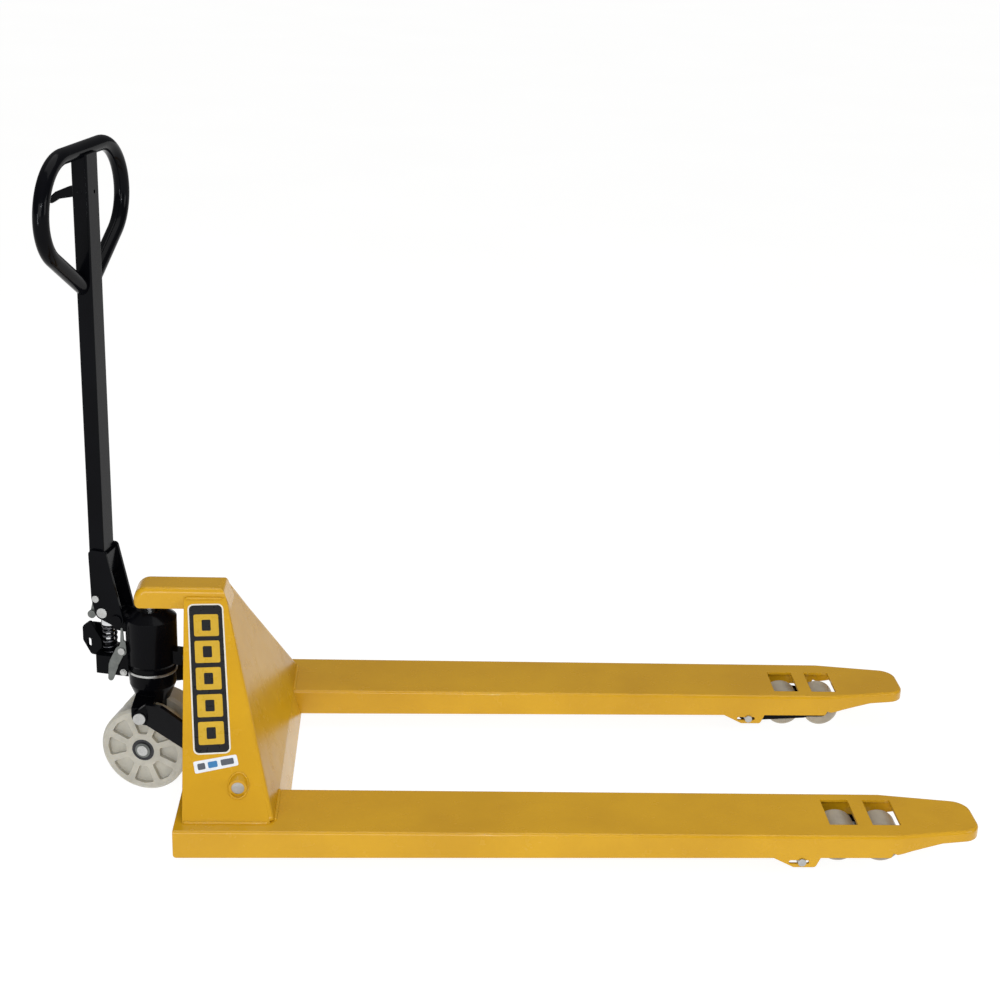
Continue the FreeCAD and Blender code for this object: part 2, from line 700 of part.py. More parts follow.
def roller_bracket(side, sign):
    """Two cheeks joined by a tube on the bracket shaft; carries the tandem rollers."""
    ax = size("bracket_x")
    az = size("bracket_height")
    cx = size("bogie_x")
    cz = size("bogie_height")
    bx, bz = bracket_pin()
    inner = size("bracket_inner")
    outer = size("bracket_outer")
    plate = size("bracket_plate")
    pin = size("pin_radius")
    start = min(sign * inner, sign * outer)
    length = outer - inner
    cheeks = []
    for place, face in (("inner", inner), ("outer", outer - plate)):
        low = min(sign * face, sign * (face + plate))
        cheeks.append(plate_body(
            f"bracket_{side}_{place}", [(ax, az, 16), (cx, cz, 15), (bx, bz, 9.5)], low, low + plate))
    tube = rod(f"bracket_{side}_tube", size("bracket_bar_radius") + plate, (ax, start, az), length, ALONG_Y)
    solid = fuse(f"bracket_{side}_fuse", cheeks + [tube])
    holes = [
        rod(f"bracket_{side}_{name}", radius, (x, start - plate, z), length + 2 * plate, ALONG_Y)
        for name, radius, x, z in (
            ("bore", size("bracket_bar_radius") + size("link_fit"), ax, az),
            ("rod_hole", pin, bx, bz), ("bogie_hole", pin, cx, cz))]
    keep(cut(f"bracket_{side}_cut", solid, holes), f"roller_bracket_{side}", FIXED)
    pins = [rod(f"bracket_{side}_rod_pin", "pin_radius", (bx, start - 1, bz), length + 2, ALONG_Y)]
    stub = 12
    for place, face in (("inner", inner - 1), ("outer", outer + 1 - stub)):
        low = min(sign * face, sign * (face + stub))
        pins.append(rod(f"bracket_{side}_stub_{place}", "pin_radius", (cx, low, cz), stub, ALONG_Y))
    keep(group(f"bracket_{side}_pins", pins), f"bracket_pins_{side}", FIXED)


def bogie(side, sign):
    """Pair of link plates with two axles, and the two load rollers between them."""
    cx = size("bogie_x")
    cz = size("bogie_height")
    radius = size("roller_radius")
    axles = [cx - size("roller_pitch") / 2, cx + size("roller_pitch") / 2]
    inner = size("link_inner")
    outer = size("link_outer")
    plate = size("link_plate")
    pin = size("pin_radius")
    links = []
    for place, face in (("inner", inner), ("outer", outer - plate)):
        low = min(sign * face, sign * (face + plate))
        links.append(plate_body(
            f"bogie_{side}_{place}", [(x, radius, 2 * pin) for x in axles], low, low + plate,
            holes=[(cx, cz, pin + size("link_fit"))] + [(x, radius, pin) for x in axles]))
    keep(group(f"bogie_{side}_links", links), f"bogie_{side}", FIXED)
    start = min(sign * inner, sign * outer)
    bars = [
        rod(f"bogie_{side}_axle_{i}", "pin_radius", (x, start, radius), outer - inner, ALONG_Y)
        for i, x in enumerate(axles)]
    keep(group(f"bogie_{side}_axles", bars), f"roller_axles_{side}", FIXED)
    middle = size("roller_centre")
    length = size("roller_length")
    for place, x in zip(("rear", "front"), axles):
        body = new_body(f"roller_{side}_{place}_body")
        profile = new_sketch(body, "XZ_Plane")
        bore = pin + size("snug_fit")
        bevel = 3
        polygon(profile, [
            (bore, 0), (radius - bevel, 0), (radius, bevel), (radius, length - bevel),
            (radius - bevel, length), (bore, length)])
        revolve(body, profile)
        body.Placement = FreeCAD.Placement(
            V(x, sign * middle - length / 2, radius), ALONG_Y)
        keep(body, f"load_roller_{side}_{place}", FIXED)


# ---------------------------------------------------------------- pump unit

def pump_body():
    """Oil tank and pump barrel with the steering stem and the flat foot for the wheel axle."""
    radius = size("tank_radius")
    stem = size("stem_radius")
    bore = size("ram_radius") + size("slide_fit")
    low = size("tank_low")
    stem_low = size("stem_low")
    floor_thickness = 6
    barrel_low = stem_low + floor_thickness
    tank_top = 321
    barrel_top = 337
    axle_height = size("wheel_radius")
    body = new_body("pump_turned")
    profile = new_sketch(body, "XZ_Plane")
    polygon(profile, [
        (bore, barrel_low), (stem, barrel_low), (stem, low), (radius - 3, low),
        (radius - 3, low + 9), (radius, low + 14), (radius, tank_top), (26, barrel_top),
        (bore, barrel_top)])
    revolve(body, profile)
    floor = rod("pump_floor", stem, (0, 0, stem_low), floor_thickness)
    foot = new_body("pump_foot")
    outline = new_sketch(foot, "XZ_Plane")
    belt(outline, [(0, axle_height, 20), (stem - 5, stem_low, 2), (5 - stem, stem_low, 2)])
    circle(outline, 0, axle_height, size("axle_radius"))
    pad(foot, outline, 2 * size("wheel_inner") - 3, midplane=True)
    lug = block("pump_side_lug", (radius - 4, -12, 236), (radius + 16, 12, 262))
    lug_trim = rod("pump_lug_trim", bore, (0, 0, barrel_low), 200)
    ears = []
    for side, sign in SIDES:
        ear_low = min(sign * 14, sign * 22)
        ears.append(plate_body(
            f"pump_ear_{side}", [
                (size("pivot_x"), size("pivot_height"), 12), (-58, 303, 7), (-36, 300, 6),
                (-36, 320, 6)],
            ear_low, ear_low + 8))
    solid = fuse("pump_fuse", [body, floor, foot, lug] + ears)
    pin_bore = rod(
        "pump_pin_bore", "pivot_radius", (size("pivot_x"), -40, size("pivot_height")), 80, ALONG_Y)
    keep(cut("pump_cut", solid, [lug_trim, pin_bore]), "pump_body", SWIVELLED)


def pump_block():
    """Piston housing cast beside the tank: spring well and sleeve, side wall and lifting lug."""
    px = size("piston_x")
    rear = size("housing_rear_x")
    half = size("housing_half")
    low = size("housing_low")
    high = size("housing_high")
    base = common(
        "housing_base", block("housing_slab", (rear, -half, low), (-30, half, high)),
        rod("housing_sweep", "housing_swing", (0, 0, low), high - low))
    boss = block("housing_boss", (-53, -half, high), (-34, 10 - half, 270))
    wall = block("housing_wall", (-121, 15.8, 236), (-75.5, 21, 287))
    lug = plate_body("housing_lug", [
        (-112, 240, 7), (rear - 1, 238, 6), (-104, 262, 8), (-118, 290, 6), (-122, 283, 9),
        (-122, 262, 9)], -4, 4)
    eye = plate_body("housing_eye", [(-119, 250, 3.8), (-119, 261, 3.8)], -5, 5)
    well_low = high - 24
    sleeve = rod("housing_sleeve", "housing_sleeve_radius", (px, 0, well_low), 40)
    well = rod("housing_well", "well_radius", (px, 0, well_low), 60)
    bore = rod("housing_bore", size("piston_radius") + size("slide_fit"), (px, 0, low + 3), 60)
    tank = rod("housing_tank", "tank_radius", (0, 0, 150), 200)
    stripped = cut(
        "housing_stripped", fuse("housing_solid", [base, boss, wall, lug]), [well, tank, eye])
    solid = fuse("housing_fuse", [stripped, sleeve])
    keep(cut("housing_cut", solid, [bore]), "piston_housing", SWIVELLED)
    head = 3
    drain_x = -42
    drain_z = low + 8
    plugs = [
        fuse("drain_plug", [
            rod("drain_plug_head", 6.5, (drain_x, -half - head, drain_z), head, ALONG_Y),
            rod("drain_plug_stud", 4, (drain_x, -half - 2 * head, drain_z), head, ALONG_Y)]),
        rod("relief_cap", 8, (size("tank_radius") + 16, 0, 249), 5, ALONG_X)]
    keep(group("plug_set", plugs), "pump_valves", SWIVELLED)


def piston_group():
    """Spring-returned pump piston with its cap, and the coil spring round the sleeve."""
    px = size("piston_x")
    cap_top = size("cam_height") - size("cam_radius")
    cap_low = cap_top - size("piston_cap_height")
    low = size("piston_low")
    stem = rod("piston_stem", "piston_radius", (px, 0, low), cap_top - low)
    cap = rod("piston_cap", "piston_cap_radius", (px, 0, cap_low), "piston_cap_height")
    keep(fuse("piston_fuse", [stem, cap]), "pump_piston", SWIVELLED)
    wire = size("spring_wire")
    radius = size("spring_radius")
    coil_low = size("housing_high") - 24 + wire
    coil_high = cap_low - wire
    rise = coil_high - coil_low
    helix = Part.makeHelix(rise / size("spring_turns"), rise, radius)
    section = Part.Wire([Part.Circle(V(radius, 0, 0), V(0, 1, 0), wire).toShape()])
    coil = Part.Wire(helix.Edges).makePipeShell([section], True, True)
    coil.translate(V(px, 0, coil_low))
    spring = doc.addObject("Part::Feature", "spring_coil")
    spring.Shape = coil
    keep(spring, "piston_spring", SWIVELLED)


def wheels():
    """Two moulded steering wheels with their ball bearings on one axle."""
    radius = size("wheel_radius")
    width = size("wheel_width")
    inner = size("wheel_inner")
    hub = 21
    bevel = 5
    race_width = 12
    race_bore = size("axle_radius") + size("snug_fit")
    for side, sign in SIDES:
        body = new_body(f"wheel_{side}_body")
        profile = new_sketch(body, "XZ_Plane")
        polygon(profile, [
            (hub, 0), (radius - bevel, 0), (radius, bevel), (radius, width - bevel),
            (radius - bevel, width), (hub, width)])
        revolve(body, profile)
        cell = new_sketch(body, "XY_Plane", width)
        belt(cell, [(36, -5, 4), (60, -14, 4), (63, 0, 4), (60, 14, 4), (36, 5, 4)])
        recess = pocket(body, cell, 9)
        ring = body.newObject("PartDesign::PolarPattern", f"wheel_{side}_cells")
        ring.Originals = [recess]
        ring.Axis = (cell, ["N_Axis"])
        ring.Angle = 360
        ring.Occurrences = 8
        body.Tip = ring
        doc.recompute()
        outward = FreeCAD.Rotation(V(1, 0, 0), 90 if sign < 0 else -90)
        body.Placement = FreeCAD.Placement(V(0, sign * inner, radius), outward)
        keep(body, f"steer_wheel_{side}", SWIVELLED)
        races = []
        for place, low in (("inner", 0), ("outer", width - race_width)):
            race = new_body(f"race_{side}_{place}")
            section = new_sketch(race, "XZ_Plane")
            high = low + race_width
            rim = hub - size("snug_fit")
            polygon(section, [
                (race_bore, low), (rim, low), (rim, high), (hub - 3, high), (hub - 3, high - 1),
                (race_bore + 3, high - 1), (race_bore + 3, high), (race_bore, high)])
            revolve(race, section)
            race.Placement = FreeCAD.Placement(V(0, sign * inner, radius), outward)
            races.append(race)
        keep(group(f"race_{side}_pair", races), f"wheel_bearings_{side}", SWIVELLED)
    reach = inner + width
    axle = rod("axle_bar", "axle_radius", (0, -reach - 4, radius), 2 * reach + 8, ALONG_Y)
    keep(axle, "wheel_axle", SWIVELLED)
    clips = []
    for side, sign in SIDES:
        y = min(sign * (reach + 0.6), sign * (reach + 2.6))
        ring = rod(f"clip_{side}_outer", 14, (0, y, radius), 2, ALONG_Y)
        hole = rod(f"clip_{side}_hole", "axle_radius", (0, y - 1, radius), 4, ALONG_Y)
        clips.append(cut(f"clip_{side}", ring, [hole]))
    keep(group("clip_pair", clips), "axle_clips", SWIVELLED)


def pump_details():
    """Thrust bearing, handle pivot pin and the release lever with its pin."""
    outer = rod(
        "thrust_outer", size("tank_radius") - 1, (0, 0, size("seat_top") + size("loose_fit")),
        "thrust_thickness")
    hole = rod("thrust_hole", size("stem_radius") + size("loose_fit"), (0, 0, size("seat_top") - 5), 20)
    keep(cut("thrust_cut", outer, [hole]), "thrust_bearing", SWIVELLED)
    x = size("pivot_x")
    z = size("pivot_height")
    bar = rod("pivot_bar", "pivot_radius", (x, -30, z), 60, ALONG_Y)
    heads = [
        rod(f"pivot_head_{i}", 10, (x, y, z), 3, ALONG_Y) for i, y in enumerate((-32.6, 29.6))]
    keep(fuse("pivot_fuse", [bar] + heads), "handle_pivot_pin", SWIVELLED)
    rx = size("release_x")
    rz = size("release_height")
    outlines = (
        ("horn", [(rx + 1, 276, 3.5), (rx + 1.5, 306, 1.8)]),
        ("top", [(rx, rz, 9), (rx + 4, 279, 4)]),
        ("mid", [(rx - 15, 238, 9), (rx - 3, rz, 9)]),
        ("tip", [(rx - 23, 206, 5), (rx - 17, 232, 9)]))
    near = -size("housing_half") - 1.2
    lever = fuse("release_fuse", [
        plate_body(f"release_{name}", discs, near - 3.3, near) for name, discs in outlines])
    lever_bore = rod("release_bore", 4.2, (rx, -40, rz), 10, ALONG_Y)
    keep(cut("release_cut", lever, [lever_bore]), "release_lever", SWIVELLED)
    pin = fuse("release_pin_fuse", [
        rod("release_pin_bar", 4, (rx, -37, rz), 5, ALONG_Y),
        rod("release_pin_head", 6.5, (rx, -39, rz), 2, ALONG_Y)])
    keep(pin, "release_pin", SWIVELLED)


# ---------------------------------------------------------------- handle

def handle_base():
    """Two cheeks welded to the foot of the drawbar, with the cam roller and its pins."""
    px = size("pivot_x")
    pz = size("pivot_height")
    cx = size("cam_x")
    cz = size("cam_height")
    sx = size("stay_x")
    sz = size("stay_height")
    half = size("bar_breadth") / 2
    pieces = []
    for side, sign in SIDES:
        low = min(sign * half, sign * (half + 6))
        pieces.append(plate_body(
            f"base_{side}", [(px, pz, 13), (-75, 440, 7), (-94, 440, 8), (sx, sz, 9), (cx, cz, 14)],
            low, low + 6))
    web_x = size("bar_x") + size("bar_depth") / 2
    pieces.append(block("base_web", (web_x, -half, 400), (web_x + 5, half, 440)))
    solid = fuse("base_fuse", pieces)
    holes = [
        rod("base_pivot_hole", size("pivot_radius") + size("link_fit"), (px, -40, pz), 80, ALONG_Y),
        rod("base_cam_hole", "cam_pin_radius", (cx, -40, cz), 80, ALONG_Y),
        rod("base_stay_hole", "stay_radius", (sx, -40, sz), 80, ALONG_Y)]
    keep(cut("base_cut", solid, holes), "handle_base", SWIVELLED)
    pins = []
    for name, x, z, radius, head in (
            ("cam", cx, cz, "cam_pin_radius", 9.5), ("stay", sx, sz, "stay_radius", 6.5)):
        pins.append(fuse(f"{name}_pin", [
            rod(f"{name}_pin_bar", radius, (x, -30, z), 60, ALONG_Y),
            rod(f"{name}_pin_head_a", head, (x, -32.5, z), 3.5, ALONG_Y),
            rod(f"{name}_pin_head_b", head, (x, 29, z), 3.5, ALONG_Y)]))
    keep(group("handle_pin_set", pins), "handle_pins", SWIVELLED)
    roller = rod("cam_roller_disc", "cam_radius", (cx, -11, cz), 22, ALONG_Y)
    roller_bore = rod("cam_roller_bore", "cam_pin_radius", (cx, -12, cz), 24, ALONG_Y)
    keep(cut("cam_roller_cut", roller, [roller_bore]), "pressure_roller", SWIVELLED)
    pulley_x = -104
    pulley_z = 321
    hanger = plate_body(
        "pulley_hanger", [(sx, sz, 9), (pulley_x, pulley_z, 4)], -18.5, -16,
        holes=[(sx, sz, size("stay_radius"))])
    disc = rod("pulley_disc", 7.5, (pulley_x, -22.5, pulley_z), 4, ALONG_Y)
    keep(fuse("pulley_fuse", [hanger, disc]), "chain_pulley", SWIVELLED)


def drawbar():
    """Rectangular tube from the handle base up to the loop, coped round the loop's top bar."""
    x = size("bar_x")
    half_depth = size("bar_depth") / 2
    half = size("bar_breadth") / 2
    wall = size("bar_wall")
    low = size("bar_low")
    top = size("loop_top") - 4
    body = new_body("drawbar_body")
    outline = new_sketch(body, "XY_Plane", low)
    rectangle(outline, x - half_depth, -half, x + half_depth, half)
    tube = pad(body, outline, top - low)

    def long_edge(edge):
        points = ends(edge)
        return abs(points[0].z - points[-1].z) > 100

    fillet(body, tube, 3, long_edge)
    inside = new_sketch(body, "XY_Plane", low - 1)
    rectangle(inside, x - half_depth + wall, -half + wall, x + half_depth - wall, half - wall)
    pocket(body, inside, size("loop_top") - size("loop_tube") - 5 - low, flipped=True)
    pivot_z = size("lever_height")
    front = x - half_depth
    slot = block("drawbar_slot", (front - 2, -6.5, pivot_z - 28), (front + 6, 6.5, pivot_z + 18))
    access = rod("drawbar_access", 3.5, (x + half_depth - 6, 4, pivot_z - 3), 10, ALONG_X)
    pin_hole = rod("drawbar_pin_hole", "lever_pin_radius", (x, -30, pivot_z), 60, ALONG_Y)
    cope = rod("drawbar_cope", "loop_tube", (size("loop_x"), -40, size("loop_top")), 80, ALONG_Y)
    keep(cut("drawbar_cut", body, [slot, access, pin_hole, cope]), "drawbar", SWIVELLED)
    pin = rod("finger_pin_bar", "lever_pin_radius", (x, -half - 0.5, pivot_z), 2 * half + 1, ALONG_Y)
    keep(pin, "finger_lever_pin", SWIVELLED)


def handle_loop():
    """Bent grip tube: top bar, round corners, and sides that run in to the drawbar."""
    x = size("loop_x")
    half = size("loop_half")
    top = size("loop_top")
    corner = size("loop_corner")
    side = size("loop_side")
    shoulder = top - corner
    lean = math.radians(size("loop_lean"))
    knee_y = half - side * (1 - math.cos(lean))
    knee_z = shoulder - side * math.sin(lean)
    start_y = 12
    start_z = knee_z - (knee_y - start_y) / math.tan(lean)
    corner_middle = math.radians(45)

    def point(y, z):
        return V(x, y, z)

    def half_path(sign):
        return [
            Part.LineSegment(point(sign * start_y, start_z), point(sign * knee_y, knee_z)),
            Part.Arc(
                point(sign * knee_y, knee_z),
                point(sign * (half - side * (1 - math.cos(lean / 2))),
                      shoulder - side * math.sin(lean / 2)),
                point(sign * half, shoulder)),
            Part.Arc(
                point(sign * half, shoulder),
                point(sign * (half - corner * (1 - math.cos(corner_middle))),
                      shoulder + corner * math.sin(corner_middle)),
                point(sign * (half - corner), top))]

    near = half_path(-1)
    far = half_path(1)
    bar = Part.LineSegment(point(-(half - corner), top), point(half - corner, top))
    edges = [piece.toShape() for piece in near + [bar] + list(reversed(far))]
    path = Part.Wire(Part.__sortEdges__(edges))
    along = V(0, -math.sin(lean), math.cos(lean))
    section = Part.Wire([Part.Circle(point(-start_y, start_z), along, size("loop_tube")).toShape()])
    tube = path.makePipeShell([section], True, True)
    loop = doc.addObject("Part::Feature", "loop_tube")
    loop.Shape = tube
    half_bar = size("bar_breadth") / 2
    room = block("loop_room", (x - 30, -half_bar, start_z - 60), (x + 30, half_bar, start_z + 80))
    keep(cut("loop_cut", loop, [room]), "handle_loop", SWIVELLED)


def finger_lever():
    """Finger lever through the drawbar's slot and the control rod that it pulls."""
    x = size("bar_x")
    z = size("lever_height")
    half = size("lever_half")
    tip = (size("lever_tip_x"), z - 21, size("lever_tip_radius"))
    outlines = (
        ("hub", [(x - 6, z - 1, 8), (x, z, 8)]),
        ("heel", [(x, z, 7), (x + 5, z - 4, 4)]),
        ("root", [(-115, z - 5, 9), (x - 6, z - 1, 8)]),
        ("arm", [(-137, z - 12, 6.5), (-115, z - 5, 9)]),
        ("tip", [tip, (-137, z - 12, 6.5)]))
    blade = fuse("finger_fuse", [
        plate_body(f"finger_{name}", discs, -half, half) for name, discs in outlines])
    hole = rod("finger_hole", size("lever_pin_radius") + 0.2, (x, -20, z), 40, ALONG_Y)
    keep(cut("finger_cut", blade, [hole]), "finger_lever", SWIVELLED)
    low = size("control_low")
    bar_rod = rod("control_bar", "control_radius", (x + 7, 0, low), z - 9 - low)
    keep(bar_rod, "control_rod", SWIVELLED)


# ---------------------------------------------------------------- assembly

for side_name, side_sign in SIDES:
    fork(side_name, side_sign)
    bracket_shaft(side_name, side_sign)
    side_plate(side_name, side_sign)
    push_rod(side_name, side_sign)
    roller_bracket(side_name, side_sign)
    bogie(side_name, side_sign)
front_plate()
cross_plate()
hood()
tower_fittings()
decals()
bearing_seat()
rocker()
rocker_pins()
pump_body()
pump_block()
piston_group()
wheels()
pump_details()
handle_base()
drawbar()
handle_loop()
finger_lever()
doc.recompute()

for thing in doc.Objects:
    if "Invalid" in thing.State or "Error" in thing.State:
        raise RuntimeError(f"{thing.Name} failed: {thing.State}")
os.makedirs("parts", exist_ok=True)
for node in nodes:
    shape = node.Shape
    if shape.isNull() or not shape.isValid():
        raise RuntimeError(f"{node.Label} has no valid shape")
    shape.exportStep(f"parts/{node.Label}.step")
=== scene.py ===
"""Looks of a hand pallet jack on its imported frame: paint, nylon, zinc, welds, spring and prints."""
import json
import math
import random

import bpy
import bmesh
from mathutils import Matrix, Vector


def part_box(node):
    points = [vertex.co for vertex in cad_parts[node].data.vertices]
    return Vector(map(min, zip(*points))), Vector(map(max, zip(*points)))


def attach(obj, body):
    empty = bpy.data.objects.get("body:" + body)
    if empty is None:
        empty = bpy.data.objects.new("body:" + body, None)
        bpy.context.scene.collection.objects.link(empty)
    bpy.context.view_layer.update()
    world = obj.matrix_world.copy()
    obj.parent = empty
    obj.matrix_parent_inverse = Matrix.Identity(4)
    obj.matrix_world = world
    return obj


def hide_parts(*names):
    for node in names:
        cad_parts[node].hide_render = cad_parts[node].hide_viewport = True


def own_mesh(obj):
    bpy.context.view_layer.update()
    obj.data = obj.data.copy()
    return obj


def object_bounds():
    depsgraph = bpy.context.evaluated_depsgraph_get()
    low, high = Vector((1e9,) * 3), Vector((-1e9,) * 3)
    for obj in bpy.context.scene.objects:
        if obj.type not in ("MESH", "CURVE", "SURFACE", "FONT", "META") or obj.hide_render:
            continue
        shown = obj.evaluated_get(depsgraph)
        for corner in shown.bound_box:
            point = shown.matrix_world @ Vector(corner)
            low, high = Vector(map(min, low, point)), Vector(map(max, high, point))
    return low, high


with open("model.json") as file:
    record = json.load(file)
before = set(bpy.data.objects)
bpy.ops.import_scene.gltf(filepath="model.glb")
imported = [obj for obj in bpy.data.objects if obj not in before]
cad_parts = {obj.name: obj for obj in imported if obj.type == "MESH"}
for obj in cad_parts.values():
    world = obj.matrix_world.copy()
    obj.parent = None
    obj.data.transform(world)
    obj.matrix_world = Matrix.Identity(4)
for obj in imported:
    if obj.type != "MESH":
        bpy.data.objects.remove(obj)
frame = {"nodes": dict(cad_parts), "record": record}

cad_low, cad_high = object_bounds()
nodes = frame["nodes"]


# ---------------------------------------------------------------- node material helpers

BEVEL_SAMPLES = 6
# the Mix node's factor, first colour and second colour, and its colour result
COLOUR_MIX_INPUTS = (0, 6, 7)
COLOUR_MIX_OUTPUT = 2
# how much the rounded normal differs from the face's where the edge mask reaches 1
EDGE_FULL = 0.25


class Paintbox:
    """One material under construction: makes nodes and links them."""

    def __init__(self, name):
        self.material = bpy.data.materials.new(name)
        self.material.use_nodes = True
        self.tree = self.material.node_tree
        self.tree.nodes.clear()
        output = self.tree.nodes.new("ShaderNodeOutputMaterial")
        self.shader = self.tree.nodes.new("ShaderNodeBsdfPrincipled")
        self.link(self.shader.outputs[0], output.inputs["Surface"])
        self.coords = self.tree.nodes.new("ShaderNodeTexCoord").outputs["Object"]

    def link(self, source, target):
        self.tree.links.new(source, target)

    def set(self, **values):
        """Constants of the shader's own sockets, named with _ for a space."""
        for key, value in values.items():
            self.shader.inputs[key.replace("_", " ")].default_value = value

    def noise(self, scale, detail, rough, stretch=None, shift=(0, 0, 0)):
        """Noise over the piece's own coordinates: scale is features per metre."""
        node = self.tree.nodes.new("ShaderNodeTexNoise")
        node.inputs["Scale"].default_value = scale
        node.inputs["Detail"].default_value = detail
        node.inputs["Roughness"].default_value = rough
        self.link(self.mapped(stretch, shift), node.inputs["Vector"])
        return node.outputs["Fac"]

    def mapped(self, stretch, shift):
        """The piece's coordinates, stretched and shifted where asked."""
        if stretch is None and not any(shift):
            return self.coords
        node = self.tree.nodes.new("ShaderNodeMapping")
        node.inputs["Scale"].default_value = stretch or (1, 1, 1)
        node.inputs["Location"].default_value = shift
        self.link(self.coords, node.inputs["Vector"])
        return node.outputs["Vector"]

    def voronoi(self, scale, feature="F1"):
        node = self.tree.nodes.new("ShaderNodeTexVoronoi")
        node.feature = feature
        node.inputs["Scale"].default_value = scale
        self.link(self.coords, node.inputs["Vector"])
        return node

    def ramp(self, source, stops):
        """Colour ramp; stops are (position, colour) with grey numbers allowed."""
        node = self.tree.nodes.new("ShaderNodeValToRGB")
        elements = node.color_ramp.elements
        while len(elements) < len(stops):
            elements.new(0.5)
        for element, (place, colour) in zip(elements, stops):
            element.position = place
            if not isinstance(colour, (tuple, list)):
                colour = (colour, colour, colour)
            element.color = (*colour, 1)
        self.link(source, node.inputs["Fac"])
        return node.outputs["Color"]

    def math(self, operation, a, b, clamp=False):
        """Result of a Math node; a and b are numbers or sockets."""
        node = self.tree.nodes.new("ShaderNodeMath")
        node.operation = operation
        node.use_clamp = clamp
        for socket, value in zip(node.inputs, (a, b)):
            if isinstance(value, (int, float)):
                socket.default_value = value
            else:
                self.link(value, socket)
        return node.outputs[0]

    def mix(self, factor, a, b, blend="MIX"):
        """Mixed colour; the factor, a and b are numbers, colours or sockets."""
        node = self.tree.nodes.new("ShaderNodeMix")
        node.data_type = "RGBA"
        node.blend_type = blend
        sockets = [node.inputs[i] for i in COLOUR_MIX_INPUTS]
        for socket, value in zip(sockets, (factor, a, b)):
            if isinstance(value, (int, float)):
                socket.default_value = value
            elif isinstance(value, (tuple, list)):
                socket.default_value = (*value, 1)
            else:
                self.link(value, socket)
        return node.outputs[COLOUR_MIX_OUTPUT]

    def edges(self, radius):
        """Mask that is 1 on sharp edges within the radius, from the difference of two normals."""
        rounded = self.soft_edges(radius)
        geometry = self.tree.nodes.new("ShaderNodeNewGeometry")
        dot = self.tree.nodes.new("ShaderNodeVectorMath")
        dot.operation = "DOT_PRODUCT"
        self.link(rounded, dot.inputs[0])
        self.link(geometry.outputs["Normal"], dot.inputs[1])
        away = self.math("SUBTRACT", 1.0, dot.outputs["Value"])
        return self.math("DIVIDE", away, EDGE_FULL, clamp=True)

    def bump(self, height, strength, distance, normal=None):
        """Normal raised by a height pattern, over another normal if one is given."""
        node = self.tree.nodes.new("ShaderNodeBump")
        node.inputs["Strength"].default_value = strength
        node.inputs["Distance"].default_value = distance
        self.link(height, node.inputs["Height"])
        if normal is not None:
            self.link(normal, node.inputs["Normal"])
        return node.outputs[0]

    def soft_edges(self, radius):
        """Normal that is rounded over sharp edges within the radius."""
        bevel = self.tree.nodes.new("ShaderNodeBevel")
        bevel.samples = BEVEL_SAMPLES
        bevel.inputs["Radius"].default_value = radius
        return bevel.outputs[0]

    def normal(self, source):
        self.link(source, self.shader.inputs["Normal"])

    def colour(self, source):
        self.link(source, self.shader.inputs["Base Color"])

    def rough(self, source):
        self.link(source, self.shader.inputs["Roughness"])


def shade(colour, factor):
    """The colour made darker or lighter by a factor, up to white."""
    return tuple(min(1.0, c * factor) for c in colour)


def enamel(name, light, dark, peel, gloss):
    """Sprayed gloss enamel: orange peel, slight cloudiness, fine specks and a thin coat at edges."""
    box = Paintbox(name)
    cloud = box.noise(5.5, 4, 0.55)
    base = box.mix(box.ramp(cloud, [(0.35, 0.0), (0.65, 1.0)]), dark, light)
    fine = box.noise(160, 2, 0.6)
    base = box.mix(box.ramp(fine, [(0.3, 0.0), (0.8, 0.10)]), base, shade(dark, 0.8))
    patches = box.ramp(box.noise(70, 4, 0.7), [(0.42, 0.0), (0.7, 0.6)])
    worn = box.math("MULTIPLY", box.edges(0.0016), patches)
    base = box.mix(worn, base, tuple(min(1.0, c * 1.25 + 0.02) for c in light))
    specks = box.ramp(box.noise(420, 2, 0.8), [(0.74, 0.0), (0.80, 0.22)])
    base = box.mix(specks, base, shade(dark, 0.7))
    box.colour(base)
    low, high = gloss
    box.rough(box.ramp(box.noise(26, 4, 0.6, shift=(3, 1, 7)), [(0.3, low), (0.72, high)]))
    ripple = box.noise(330, 1.5, 0.4)
    waves = box.noise(38, 2, 0.4)
    surface = box.bump(waves, peel * 0.9, 0.0016, box.soft_edges(0.0014))
    box.normal(box.bump(ripple, peel, 0.0006, surface))
    return box


def yellow_enamel(name, tint=1.0, specular=0.26, coat=0.24):
    """Yellow ochre enamel of the fork frame."""
    light = (0.62 * tint, 0.335 * tint, 0.0075)
    dark = (0.545 * tint, 0.285 * tint, 0.006)
    box = enamel(name, light, dark, 0.13, (0.20, 0.30))
    box.set(Specular_IOR_Level=specular, Coat_Weight=coat, Coat_Roughness=0.06, Coat_IOR=1.45)
    return box.material


def black_enamel(name, gloss=(0.12, 0.22), peel=0.12):
    """Black enamel of the pump unit and the handle."""
    box = enamel(name, (0.0026, 0.0028, 0.0040), (0.0014, 0.0014, 0.0020), peel, gloss)
    box.set(Specular_IOR_Level=0.04, Coat_Weight=0.055, Coat_Roughness=0.05, Coat_IOR=1.5)
    return box.material


